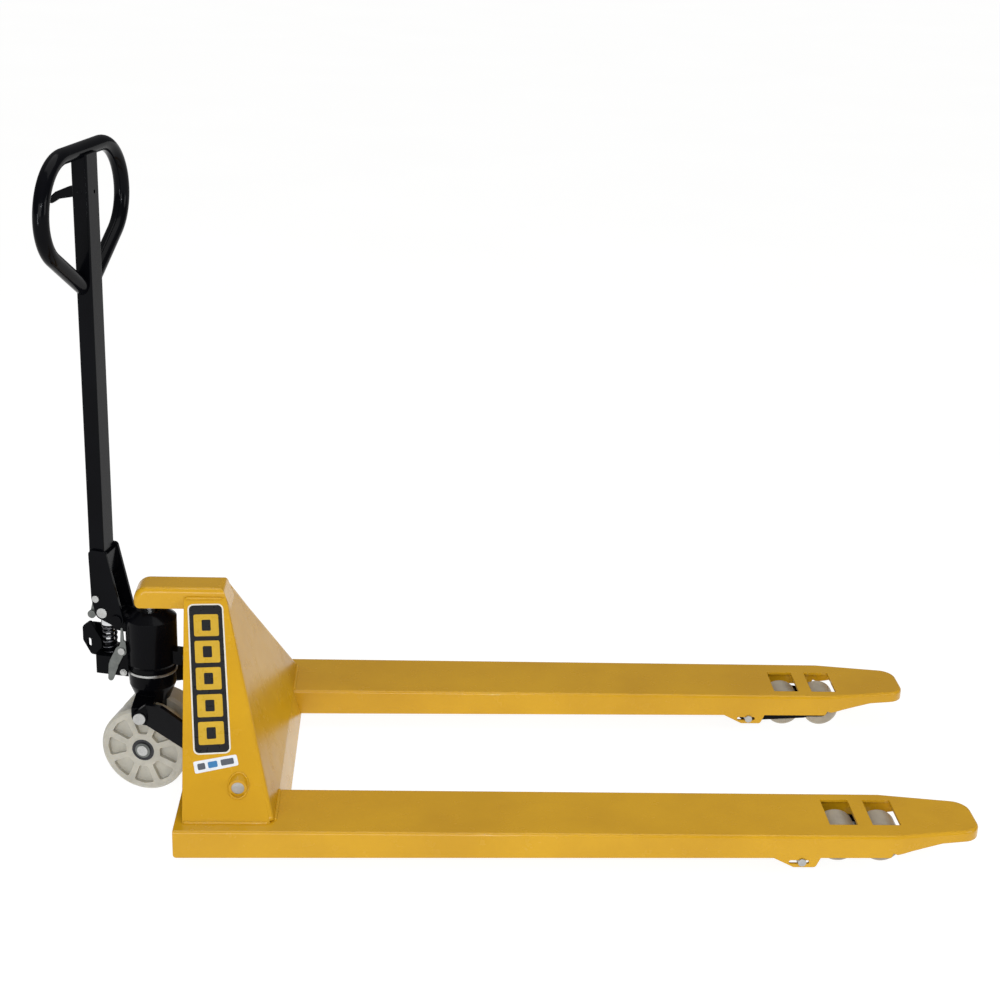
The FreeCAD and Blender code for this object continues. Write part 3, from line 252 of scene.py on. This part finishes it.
def zinc(name, tone=(0.60, 0.60, 0.585), rough=(0.26, 0.46)):
    """Zinc plating: pale metal with soft crystal patches and fine handling marks."""
    box = Paintbox(name)
    spangle = box.voronoi(420).outputs["Color"]
    grey = box.tree.nodes.new("ShaderNodeRGBToBW")
    box.link(spangle, grey.inputs[0])
    cloud = box.noise(60, 4, 0.6)
    base = box.mix(box.ramp(cloud, [(0.3, 0.0), (0.75, 1.0)]), shade(tone, 0.72), tone)
    base = box.mix(0.12, base, grey.outputs[0], "MULTIPLY")
    stain = box.ramp(box.noise(95, 3, 0.7, shift=(5, 2, 1)), [(0.62, 0.0), (0.82, 0.5)])
    base = box.mix(stain, base, (0.36, 0.33, 0.26))
    box.colour(base)
    box.set(Metallic=1.0)
    box.rough(box.ramp(box.noise(210, 3, 0.6), [(0.3, rough[0]), (0.7, rough[1])]))
    scratches = box.noise(900, 3, 0.7, stretch=(1, 0.12, 1))
    box.normal(box.bump(scratches, 0.12, 0.0003, box.soft_edges(0.0006)))
    return box.material


def ground_steel(name):
    """Ground and chromed bar: bright, with fine rings left by the grinding wheel."""
    box = Paintbox(name)
    rings = box.noise(60, 2, 0.5, stretch=(0.3, 0.3, 26))
    box.colour(box.ramp(rings, [(0.3, (0.56, 0.57, 0.58)), (0.7, (0.74, 0.75, 0.76))]))
    box.set(Metallic=1.0, Anisotropic=0.35)
    box.rough(box.ramp(box.noise(140, 2, 0.5), [(0.3, 0.10), (0.7, 0.22)]))
    box.normal(box.bump(rings, 0.06, 0.0002, box.soft_edges(0.0004)))
    return box.material


def nylon(name, tone=(0.50, 0.475, 0.405)):
    """Cast nylon: off-white and slightly waxy, mottled, with swirl marks and paler edges."""
    box = Paintbox(name)
    swirl = box.noise(24, 5, 0.62)
    base = box.mix(box.ramp(swirl, [(0.32, 0.0), (0.68, 1.0)]), shade(tone, 0.80), tone)
    fine_swirl = box.noise(70, 6, 0.75, shift=(1, 4, 2))
    veins = box.ramp(fine_swirl, [(0.50, 0.0), (0.62, 0.30), (0.70, 0.0)])
    base = box.mix(veins, base, shade(tone, 0.66))
    base = box.mix(box.edges(0.0022), base, shade(tone, 1.18))
    box.colour(base)
    box.set(Subsurface_Weight=0.25, Subsurface_Scale=0.006, Specular_IOR_Level=0.42)
    box.shader.inputs["Subsurface Radius"].default_value = (1.0, 0.8, 0.5)
    box.rough(box.ramp(box.noise(120, 3, 0.6), [(0.3, 0.30), (0.7, 0.48)]))
    tool_marks = box.noise(260, 3, 0.55)
    box.normal(box.bump(tool_marks, 0.16, 0.0006, box.soft_edges(0.0016)))
    return box.material


def satin_plastic(name, tone=(0.010, 0.010, 0.012)):
    """Moulded black trim with a fine leather-like grain."""
    box = Paintbox(name)
    grain = box.voronoi(900, "DISTANCE_TO_EDGE").outputs["Distance"]
    cloud = box.noise(40, 4, 0.6)
    box.colour(box.mix(box.ramp(cloud, [(0.3, 0.0), (0.7, 1.0)]), tone, shade(tone, 1.9)))
    box.set(Specular_IOR_Level=0.35)
    box.rough(box.ramp(box.noise(160, 3, 0.6), [(0.3, 0.26), (0.7, 0.42)]))
    box.normal(box.bump(grain, 0.10, 0.0003, box.soft_edges(0.0008)))
    return box.material


def print_film(name, tone):
    """Printed vinyl film: even ink, faint mottling and a soft gloss."""
    box = Paintbox(name)
    cloud = box.noise(45, 4, 0.6)
    box.colour(box.mix(box.ramp(cloud, [(0.3, 0.0), (0.7, 1.0)]), shade(tone, 0.88), tone))
    box.set(Specular_IOR_Level=0.30)
    box.rough(box.ramp(box.noise(120, 3, 0.6), [(0.3, 0.24), (0.7, 0.38)]))
    box.normal(box.bump(box.noise(180, 2, 0.5), 0.08, 0.0003))
    return box.material


def floor_paint(name):
    """Pale studio floor, lit from within like a translucent light table, faintly cloudy."""
    box = Paintbox(name)
    cloud = box.noise(1.2, 4, 0.5)
    box.colour(box.ramp(cloud, [(0.3, (0.15, 0.15, 0.149)), (0.7, (0.17, 0.17, 0.169))]))
    box.set(Specular_IOR_Level=0.0, Emission_Strength=0.93)
    box.shader.inputs["Emission Color"].default_value = (1, 1, 0.995, 1)
    box.rough(box.ramp(box.noise(8, 3, 0.5), [(0.3, 0.85), (0.7, 0.95)]))
    return box.material


YELLOW = yellow_enamel("yellow_enamel")
YELLOW_PLATE = yellow_enamel("yellow_enamel_plate", 0.93)
YELLOW_FRONT = yellow_enamel("yellow_enamel_front", 0.93, 0.08, 0.04)
BLACK = black_enamel("black_enamel")
CAST_BLACK = black_enamel("black_enamel_cast", (0.14, 0.26), 0.26)
ZINC = zinc("zinc_plate")
DARK_ZINC = zinc("zinc_dark", (0.20, 0.21, 0.20), (0.30, 0.46))
SEAL = satin_plastic("bearing_seal", (0.020, 0.020, 0.022))
# darker, browner copy of the cast nylon for the load rollers: painted shade, for the shade that they
# sit in under the forks
SHADED_ROLLER_NYLON = nylon("roller_nylon_painted_shade", (0.40, 0.35, 0.27))
STEEL = ground_steel("ground_steel")
NYLON = nylon("cast_nylon")
TRIM = satin_plastic("black_trim")

# finish of each material slot of the record
FINISH = {
    "yellow_paint": YELLOW, "yellow_plate": YELLOW_PLATE, "black_paint": BLACK,
    "black_trim": TRIM, "nylon": NYLON, "zinc": ZINC, "bright_steel": STEEL,
}
# nodes whose finish is a variant of their slot's
SPECIAL = {
    "front_plate": YELLOW_FRONT,
    "pump_body": CAST_BLACK, "piston_housing": CAST_BLACK, "bearing_seat": CAST_BLACK,
    "rocker": CAST_BLACK, "release_lever": DARK_ZINC, "wheel_bearings_left": SEAL,
    # the load rollers take the nylon copy with painted shade
    "wheel_bearings_right": SEAL, "axle_clips": DARK_ZINC, "load_roller_left_front": SHADED_ROLLER_NYLON,
    "load_roller_left_rear": SHADED_ROLLER_NYLON, "load_roller_right_front": SHADED_ROLLER_NYLON,
    "load_roller_right_rear": SHADED_ROLLER_NYLON, "finger_lever": BLACK, "handle_pivot_pin": BLACK,
    "finger_lever_pin": BLACK, "chain_pulley": DARK_ZINC,
}


def dress(piece, material):
    """Give a piece one material."""
    piece.data.materials.clear()
    piece.data.materials.append(material)


for part in frame["record"]["subparts"]:
    name = part["node"]
    dress(nodes[name], SPECIAL.get(name, FINISH[part["material_slot"]]))


# ---------------------------------------------------------------- pieces made here

SPRING_STEEL = zinc("spring_steel", (0.13, 0.13, 0.14), (0.24, 0.38))
PANEL_EDGE = print_film("panel_edge_film", (0.74, 0.71, 0.62))
PANEL_BLACK = print_film("panel_black_film", (0.012, 0.012, 0.013))
PANEL_YELLOW = print_film("panel_yellow_film", (0.60, 0.37, 0.03))
LABEL_WHITE = print_film("label_white_film", (0.76, 0.78, 0.80))
LABEL_GREY = print_film("label_grey_film", (0.10, 0.11, 0.13))
LABEL_BLUE = print_film("label_blue_film", (0.05, 0.20, 0.42))

# the fork tips are this far from the drawing's origin, at the front plate's foot
REACH = 1.220
FOOT_X = cad_high.x - REACH
# half widths across the two cheeks at their foot and crown, and x of the front plate's face there
FOOT_HALF = 0.314
CROWN_HALF = 0.034
FRONT_FOOT = 0.006
CROWN_FRONT = -0.097
CROWN_TOP = 0.372
FORK_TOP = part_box("fork_right")[1].z
LEAN = math.atan2(CROWN_TOP - FORK_TOP, FOOT_HALF - CROWN_HALF)


def new_piece(name, vertices, faces, materials, body, indices=None, smooth=True):
    """Mesh piece that rides on a body and takes the materials that it is given."""
    mesh = bpy.data.meshes.new(name)
    mesh.from_pydata(vertices, [], faces)
    for material in materials:
        mesh.materials.append(material)
    for i, polygon in enumerate(mesh.polygons):
        polygon.use_smooth = smooth
        if indices:
            polygon.material_index = indices[i]
    shape = bmesh.new()
    shape.from_mesh(mesh)
    bmesh.ops.recalc_face_normals(shape, faces=shape.faces)
    shape.to_mesh(mesh)
    shape.free()
    piece = bpy.data.objects.new(name, mesh)
    bpy.context.scene.collection.objects.link(piece)
    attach(piece, body)
    return piece


def tube_mesh(path, radius_at, sides):
    """Vertices and faces of a closed-ended tube along a list of points."""
    vertices, faces = [], []
    side = None
    for i, point in enumerate(path):
        ahead = (path[min(i + 1, len(path) - 1)] - path[max(i - 1, 0)]).normalized()
        if side is None:
            side = ahead.orthogonal().normalized()
        side = (side - ahead * side.dot(ahead)).normalized()
        other = ahead.cross(side)
        for k in range(sides):
            angle = 2 * math.pi * k / sides
            spoke = side * math.cos(angle) + other * math.sin(angle)
            vertices.append(point + spoke * radius_at(i))
    for i in range(len(path) - 1):
        for k in range(sides):
            a = i * sides + k
            b = i * sides + (k + 1) % sides
            faces.append((a, b, b + sides, a + sides))
    last = (len(path) - 1) * sides
    faces.append(tuple(reversed(range(sides))))
    faces.append(tuple(range(last, last + sides)))
    return vertices, faces


BEAD_STEP = 0.0011
BEAD_SIDES = 10
# path points between two random widths, and from one weld scale to the next
BEAD_DRIFT_RUN = 12
BEAD_SCALE_RUN = 4
# shares of the width that come from the random drift and that each scale loses along its run
BEAD_DRIFT = 0.10
BEAD_SCALE = 0.13
# path points over which each end tapers, and the width of its tip in those points
BEAD_TAPER_RUN = 4
BEAD_TIP = 1.2


def weld_bead(name, corners, radius):
    """Weld bead along straight runs: overlapping scales, a little uneven, tapering at both ends."""
    draw = random.Random(name)
    path = []
    for start, end in zip(corners, corners[1:]):
        count = max(2, int((end - start).length / BEAD_STEP))
        path += [start.lerp(end, i / count) for i in range(count)]
    path.append(corners[-1])
    drift = [draw.uniform(-1, 1) for _ in range(len(path) // BEAD_DRIFT_RUN + 3)]

    def radius_at(i):
        place, between = divmod(i / BEAD_DRIFT_RUN, 1)
        wander = drift[int(place)] * (1 - between) + drift[int(place) + 1] * between
        scale = (i % BEAD_SCALE_RUN) / BEAD_SCALE_RUN
        taper = min(1.0, (min(i, len(path) - 1 - i) + BEAD_TIP) / BEAD_TAPER_RUN)
        return radius * taper * (1 + BEAD_DRIFT * wander - BEAD_SCALE * scale)

    vertices, faces = tube_mesh(path, radius_at, BEAD_SIDES)
    new_piece(name, vertices, faces, [YELLOW], "frame")


def on_cheek(sign, x, up, out):
    """Point on a leaning side plate: x along the jack, up its slope and out from its face."""
    along = up * math.cos(LEAN) - out * math.sin(LEAN)
    return Vector((
        FOOT_X + x, sign * (FOOT_HALF - along),
        FORK_TOP + up * math.sin(LEAN) + out * math.cos(LEAN)))


SMALL_CORNER_STEPS = 3
LARGE_CORNER_STEPS = 5


def rounded_box(u0, v0, u1, v1, radius, steps=SMALL_CORNER_STEPS):
    """Corner points of a rounded rectangle, anticlockwise."""
    points = []
    for cu, cv, start in (
            (u1 - radius, v0 + radius, -90), (u1 - radius, v1 - radius, 0),
            (u0 + radius, v1 - radius, 90), (u0 + radius, v0 + radius, 180)):
        for k in range(steps + 1):
            angle = math.radians(start + 90 * k / steps)
            points.append((cu + radius * math.cos(angle), cv + radius * math.sin(angle)))
    return points


PRINT_FILMS = [PANEL_EDGE, PANEL_BLACK, PANEL_YELLOW, LABEL_WHITE, LABEL_GREY, LABEL_BLUE]
EDGE_FILM, BLACK_FILM, YELLOW_FILM, WHITE_FILM, GREY_FILM, BLUE_FILM = range(len(PRINT_FILMS))
# corners of each film on the cheek: x along the jack and distance up the slope
PANEL_CORNERS = [(-0.137, 0.118), (-0.073, 0.122), (-0.102, 0.395), (-0.165, 0.393)]
LABEL_CORNERS = [(-0.132, 0.085), (-0.059, 0.101), (-0.064, 0.120), (-0.137, 0.106)]
PANEL_WIDTH = 0.064
PANEL_HEIGHT = 0.276
PANEL_BORDER = 0.0026
# the panel's five blocks, one above the other: outer block and the smaller one in it
BLOCKS = 5
FIRST_BLOCK = 0.017
BLOCK_PITCH = 0.0495
BLOCK_SIDES = (0.010, 0.054)
BLOCK_HEIGHT = 0.041
CORE_SIDES = (0.024, 0.040)
CORE_LOW = 0.010
CORE_HIGH = 0.031
LABEL_WIDTH = 0.0747
LABEL_HEIGHT = 0.0216
# the label's marks: left, right and film
MARKS = [(0.006, 0.019, GREY_FILM), (0.024, 0.040, BLUE_FILM), (0.046, 0.068, GREY_FILM)]
MARK_LOW = 0.005
MARK_HIGH = 0.0165


def make_side_prints():
    """Film panel and label on each cheek: rounded, bordered, with plain blocks and no lettering."""
    vertices, faces, indices = [], [], []

    def layer(sign, corners, outline, low, high, film):
        """One film on a cheek, from low to high above its face, with a face round its edge."""
        lower_left, lower_right, upper_right, upper_left = [Vector(corner) for corner in corners]
        width = (lower_right - lower_left).length
        height = (upper_left - lower_left).length
        first = len(vertices)
        count = len(outline)
        top = first + count
        for out in (low, high):
            for u, v in outline:
                s, t = u / width, v / height
                spot = lower_left.lerp(lower_right, s).lerp(upper_left.lerp(upper_right, s), t)
                vertices.append(on_cheek(sign, spot.x, spot.y, out))
        for k in range(count):
            following = (k + 1) % count
            faces.append((first + k, first + following, top + following, top + k))
            indices.append(film)
        faces.append(tuple(range(top, top + count)))
        indices.append(film)

    border = rounded_box(0, 0, PANEL_WIDTH, PANEL_HEIGHT, 0.010, LARGE_CORNER_STEPS)
    field = rounded_box(
        PANEL_BORDER, PANEL_BORDER, PANEL_WIDTH - PANEL_BORDER, PANEL_HEIGHT - PANEL_BORDER, 0.008,
        LARGE_CORNER_STEPS)
    for sign in (-1, 1):
        layer(sign, PANEL_CORNERS, border, 0, 0.00030, EDGE_FILM)
        layer(sign, PANEL_CORNERS, field, 0.0002, 0.00040, BLACK_FILM)
        for k in range(BLOCKS):
            low = FIRST_BLOCK + k * BLOCK_PITCH
            block = rounded_box(BLOCK_SIDES[0], low, BLOCK_SIDES[1], low + BLOCK_HEIGHT, 0.003)
            core = rounded_box(CORE_SIDES[0], low + CORE_LOW, CORE_SIDES[1], low + CORE_HIGH, 0.002)
            layer(sign, PANEL_CORNERS, block, 0.0003, 0.00048, YELLOW_FILM)
            layer(sign, PANEL_CORNERS, core, 0.0004, 0.00050, BLACK_FILM)
        label = rounded_box(0, 0, LABEL_WIDTH, LABEL_HEIGHT, 0.003)
        layer(sign, LABEL_CORNERS, label, 0, 0.00035, WHITE_FILM)
        for left, right, film in MARKS:
            mark = rounded_box(left, MARK_LOW, right, MARK_HIGH, 0.002)
            layer(sign, LABEL_CORNERS, mark, 0.0003, 0.00045, film)
    piece = new_piece(
        "side_prints", vertices, faces, PRINT_FILMS, "frame", indices, smooth=False)
    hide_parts("side_panels")


SPRING_WIRE = 0.00175
SPRING_TURNS = 8.5
SPRING_STEPS = 360
SPRING_SIDES = 12
# how far the end coils close up
CLOSED_ENDS = 0.045


def make_spring():
    """Compression spring of dark steel with closed, ground end coils."""
    low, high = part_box("piston_spring")
    centre = (low + high) / 2
    coil = (high.x - low.x) / 2 - SPRING_WIRE
    travel = high.z - low.z - 2 * SPRING_WIRE
    path = []
    for i in range(SPRING_STEPS + 1):
        share = i / SPRING_STEPS
        rise = share - CLOSED_ENDS * math.sin(2 * math.pi * share)
        angle = 2 * math.pi * SPRING_TURNS * share
        path.append(Vector((
            centre.x + coil * math.cos(angle), centre.y + coil * math.sin(angle),
            low.z + SPRING_WIRE + travel * rise)))
    vertices, faces = tube_mesh(path, lambda i: SPRING_WIRE, SPRING_SIDES)
    piece = new_piece("coil_spring", vertices, faces, [SPRING_STEEL], "pump")
    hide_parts("piston_spring")
    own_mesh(piece)


# how far a bead's middle stands off the plates that it joins
BEAD_LIFT = 0.0004
CROWN_BEAD_LIFT = 0.0006
FOOT_BEAD = 0.0034
CROWN_BEAD = 0.0024
# x of both ends of the beads at a cheek's foot and crown, and how far up the slope the crown is
FOOT_BEAD_ENDS = (-0.149, -0.003)
CROWN_BEAD_ENDS = (-0.170, -0.104)
CROWN_SLOPE = 0.4036
# the bead before the front plate: x, and its ends beside the cross plate and the cheek
FRONT_BEAD_X = 0.0065
FRONT_BEAD_OUTER = 0.304
CROSS_PLATE_GAP = 0.004


def make_welds():
    """Beads where the tower stands on the forks and under the hood."""
    front_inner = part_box("cross_plate")[1].y + CROSS_PLATE_GAP
    for side, sign in (("right", -1), ("left", 1)):
        foot = [on_cheek(sign, x, BEAD_LIFT, BEAD_LIFT) for x in FOOT_BEAD_ENDS]
        front = [
            Vector((FOOT_X + FRONT_BEAD_X, sign * y, FORK_TOP + BEAD_LIFT))
            for y in (front_inner, FRONT_BEAD_OUTER)]
        crown = [on_cheek(sign, x, CROWN_SLOPE, CROWN_BEAD_LIFT) for x in CROWN_BEAD_ENDS]
        weld_bead(f"foot_weld_{side}", foot, FOOT_BEAD)
        weld_bead(f"front_weld_{side}", front, FOOT_BEAD)
        weld_bead(f"crown_weld_{side}", crown, CROWN_BEAD)


FOLD_RADIUS = 0.006
FOLD_STEPS = 60
FOLD_SIDES = 20
# the share of the edge from foot to crown where the fold starts, and the share that it covers
FOLD_START = 0.018
FOLD_SPAN = 0.965


def make_corner_folds():
    """Rounded corners where the front plate is folded round to the cheeks."""
    foot = Vector((FOOT_X + FRONT_FOOT, FOOT_HALF, FORK_TOP))
    crown = Vector((FOOT_X + CROWN_FRONT, CROWN_HALF, CROWN_TOP))
    front_normal = Vector((CROWN_TOP - FORK_TOP, 0, FRONT_FOOT - CROWN_FRONT)).normalized()
    cheek_normal = Vector((0, math.sin(LEAN), math.cos(LEAN)))
    depth = FOLD_RADIUS / (1 + front_normal.dot(cheek_normal))
    inward = (front_normal + cheek_normal) * -depth
    for side, sign in (("right", -1), ("left", 1)):
        path = []
        for i in range(FOLD_STEPS + 1):
            spot = foot.lerp(crown, FOLD_START + FOLD_SPAN * i / FOLD_STEPS) + inward
            path.append(Vector((spot.x, sign * spot.y, spot.z)))
        vertices, faces = tube_mesh(path, lambda i: FOLD_RADIUS, FOLD_SIDES)
        new_piece(f"corner_fold_{side}", vertices, faces, [YELLOW], "frame")


RING_RADIUS = 0.0164
RING_BEAD = 0.0023
RING_STEPS = 96
# the ring's scales: points in each, and how much thinner each point is than the one before
RING_SCALE_RUN = 3
RING_SCALE = 0.10


def make_boss_welds():
    """Ring of weld where each shaft boss leaves its cheek."""
    low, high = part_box("rocker_shaft")
    centre = (low + high) / 2

    def radius_at(i):
        return RING_BEAD * (1 - RING_SCALE * (i % RING_SCALE_RUN))

    for side, sign in (("right", -1), ("left", 1)):
        path = []
        for i in range(RING_STEPS + 1):
            angle = 2 * math.pi * i / RING_STEPS
            z = centre.z + RING_RADIUS * math.sin(angle)
            y = FOOT_HALF - (z - FORK_TOP) / math.tan(LEAN)
            path.append(Vector((centre.x + RING_RADIUS * math.cos(angle), sign * y, z)))
        vertices, faces = tube_mesh(path, radius_at, BEAD_SIDES)
        new_piece(f"boss_weld_{side}", vertices, faces, [YELLOW], "frame")


make_side_prints()
make_spring()
make_welds()
make_corner_folds()
make_boss_welds()


# ---------------------------------------------------------------- stage, light and camera

FLOOR_REACH = 400.0
BACKDROP_WHITE = (1, 1, 0.995, 1)
DOME_STRENGTH = 0.88
# the dome's colour by height: position on the ramp and colour
DOME = [
    (0.0, (0.16, 0.16, 0.165, 1)),
    (0.45, (0.26, 0.26, 0.265, 1)),
    (0.95, (0.62, 0.62, 0.63, 1)),
]
CAMERA_PLACE = (-0.19764, -3.00911, 1.65709)
CAMERA_YAW = 0.0551418
CAMERA_PITCH = 0.3507860
CAMERA_ROLL = 0.0359044
CAMERA_LENS = 65.18
CAMERA_SENSOR = 36
CAMERA_FAR = 900
COOL_WHITE = (0.90, 0.95, 1.0)
# each light's name, place, target, width, height, power and colour
LIGHTS = [
    ("key", (-1.0, -4.2, 1.9), (-0.1, 0, 0.25), 2.6, 1.6, 66, (1, 1, 1)),
    ("side", (3.0, -1.6, 1.5), (0.1, 0, 0.2), 1.6, 1.2, 30, (1, 1, 1)),
    ("top", (0.1, 0.3, 3.4), (0, 0, 0), 3.0, 2.0, 34, (1, 1, 1)),
    ("flash", (0.15, -3.1, 2.1), (-0.1, 0, 0.3), 0.10, 0.10, 15, COOL_WHITE),
    ("strip", (-1.9, -2.4, 0.9), (-0.65, 0, 0.4), 0.12, 0.9, 12, COOL_WHITE),
]


def make_floor():
    """Pale floor under the wheels, reaching to the horizon."""
    mesh = bpy.data.meshes.new("floor")
    corners = [(-FLOOR_REACH, -FLOOR_REACH, 0), (FLOOR_REACH, -FLOOR_REACH, 0),
               (FLOOR_REACH, FLOOR_REACH, 0), (-FLOOR_REACH, FLOOR_REACH, 0)]
    mesh.from_pydata(corners, [], [(0, 1, 2, 3)])
    piece = bpy.data.objects.new("floor", mesh)
    bpy.context.scene.collection.objects.link(piece)
    dress(piece, floor_paint("floor_paint"))
    piece.location.z = cad_low.z


def area_light(name, place, target, width, height, power, tint):
    """Rectangular lamp at a place, aimed at a target."""
    light = bpy.data.lights.new(name, "AREA")
    light.shape = "RECTANGLE"
    light.size = width
    light.size_y = height
    light.energy = power
    light.color = tint
    lamp = bpy.data.objects.new(name, light)
    bpy.context.scene.collection.objects.link(lamp)
    lamp.location = place
    lamp.rotation_euler = (Vector(target) - Vector(place)).to_track_quat("-Z", "Y").to_euler()


def make_world():
    """Dim studio dome, a little brighter overhead, with a plain pale backdrop seen behind the jack."""
    world = bpy.data.worlds.new("studio")
    world.use_nodes = True
    tree = world.node_tree
    background = tree.nodes["Background"]
    coords = tree.nodes.new("ShaderNodeTexCoord")
    split = tree.nodes.new("ShaderNodeSeparateXYZ")
    ramp = tree.nodes.new("ShaderNodeValToRGB")
    tree.links.new(coords.outputs["Generated"], split.inputs[0])
    tree.links.new(split.outputs["Z"], ramp.inputs["Fac"])
    tree.links.new(ramp.outputs["Color"], background.inputs["Color"])
    stops = ramp.color_ramp.elements
    stops.new(0.5)
    for stop, (place, colour) in zip(stops, DOME):
        stop.position = place
        stop.color = colour
    background.inputs["Strength"].default_value = DOME_STRENGTH
    backdrop = tree.nodes.new("ShaderNodeBackground")
    backdrop.inputs["Color"].default_value = BACKDROP_WHITE
    path = tree.nodes.new("ShaderNodeLightPath")
    choose = tree.nodes.new("ShaderNodeMixShader")
    tree.links.new(path.outputs["Is Camera Ray"], choose.inputs[0])
    tree.links.new(background.outputs[0], choose.inputs[1])
    tree.links.new(backdrop.outputs[0], choose.inputs[2])
    tree.links.new(choose.outputs[0], tree.nodes["World Output"].inputs["Surface"])
    bpy.context.scene.world = world


def make_camera():
    """Camera at the picture's place: left of the forks' middle, 3 m off, looking 20 degrees down."""
    forward = Vector((
        math.sin(CAMERA_YAW) * math.cos(CAMERA_PITCH),
        math.cos(CAMERA_YAW) * math.cos(CAMERA_PITCH),
        -math.sin(CAMERA_PITCH)))
    level = Vector((math.cos(CAMERA_YAW), -math.sin(CAMERA_YAW), 0))
    upright = level.cross(forward)
    right = math.cos(CAMERA_ROLL) * level + math.sin(CAMERA_ROLL) * upright
    up = -math.sin(CAMERA_ROLL) * level + math.cos(CAMERA_ROLL) * upright
    turn = Matrix((right, up, -forward)).transposed().to_4x4()
    data = bpy.data.cameras.new("camera")
    data.sensor_width = CAMERA_SENSOR
    data.lens = CAMERA_LENS
    data.clip_end = CAMERA_FAR
    camera = bpy.data.objects.new("camera", data)
    bpy.context.scene.collection.objects.link(camera)
    camera.matrix_world = Matrix.Translation(CAMERA_PLACE) @ turn
    bpy.context.scene.camera = camera


make_floor()
make_world()
make_camera()
for light in LIGHTS:
    area_light(*light)
bpy.context.scene.view_settings.view_transform = "Standard"
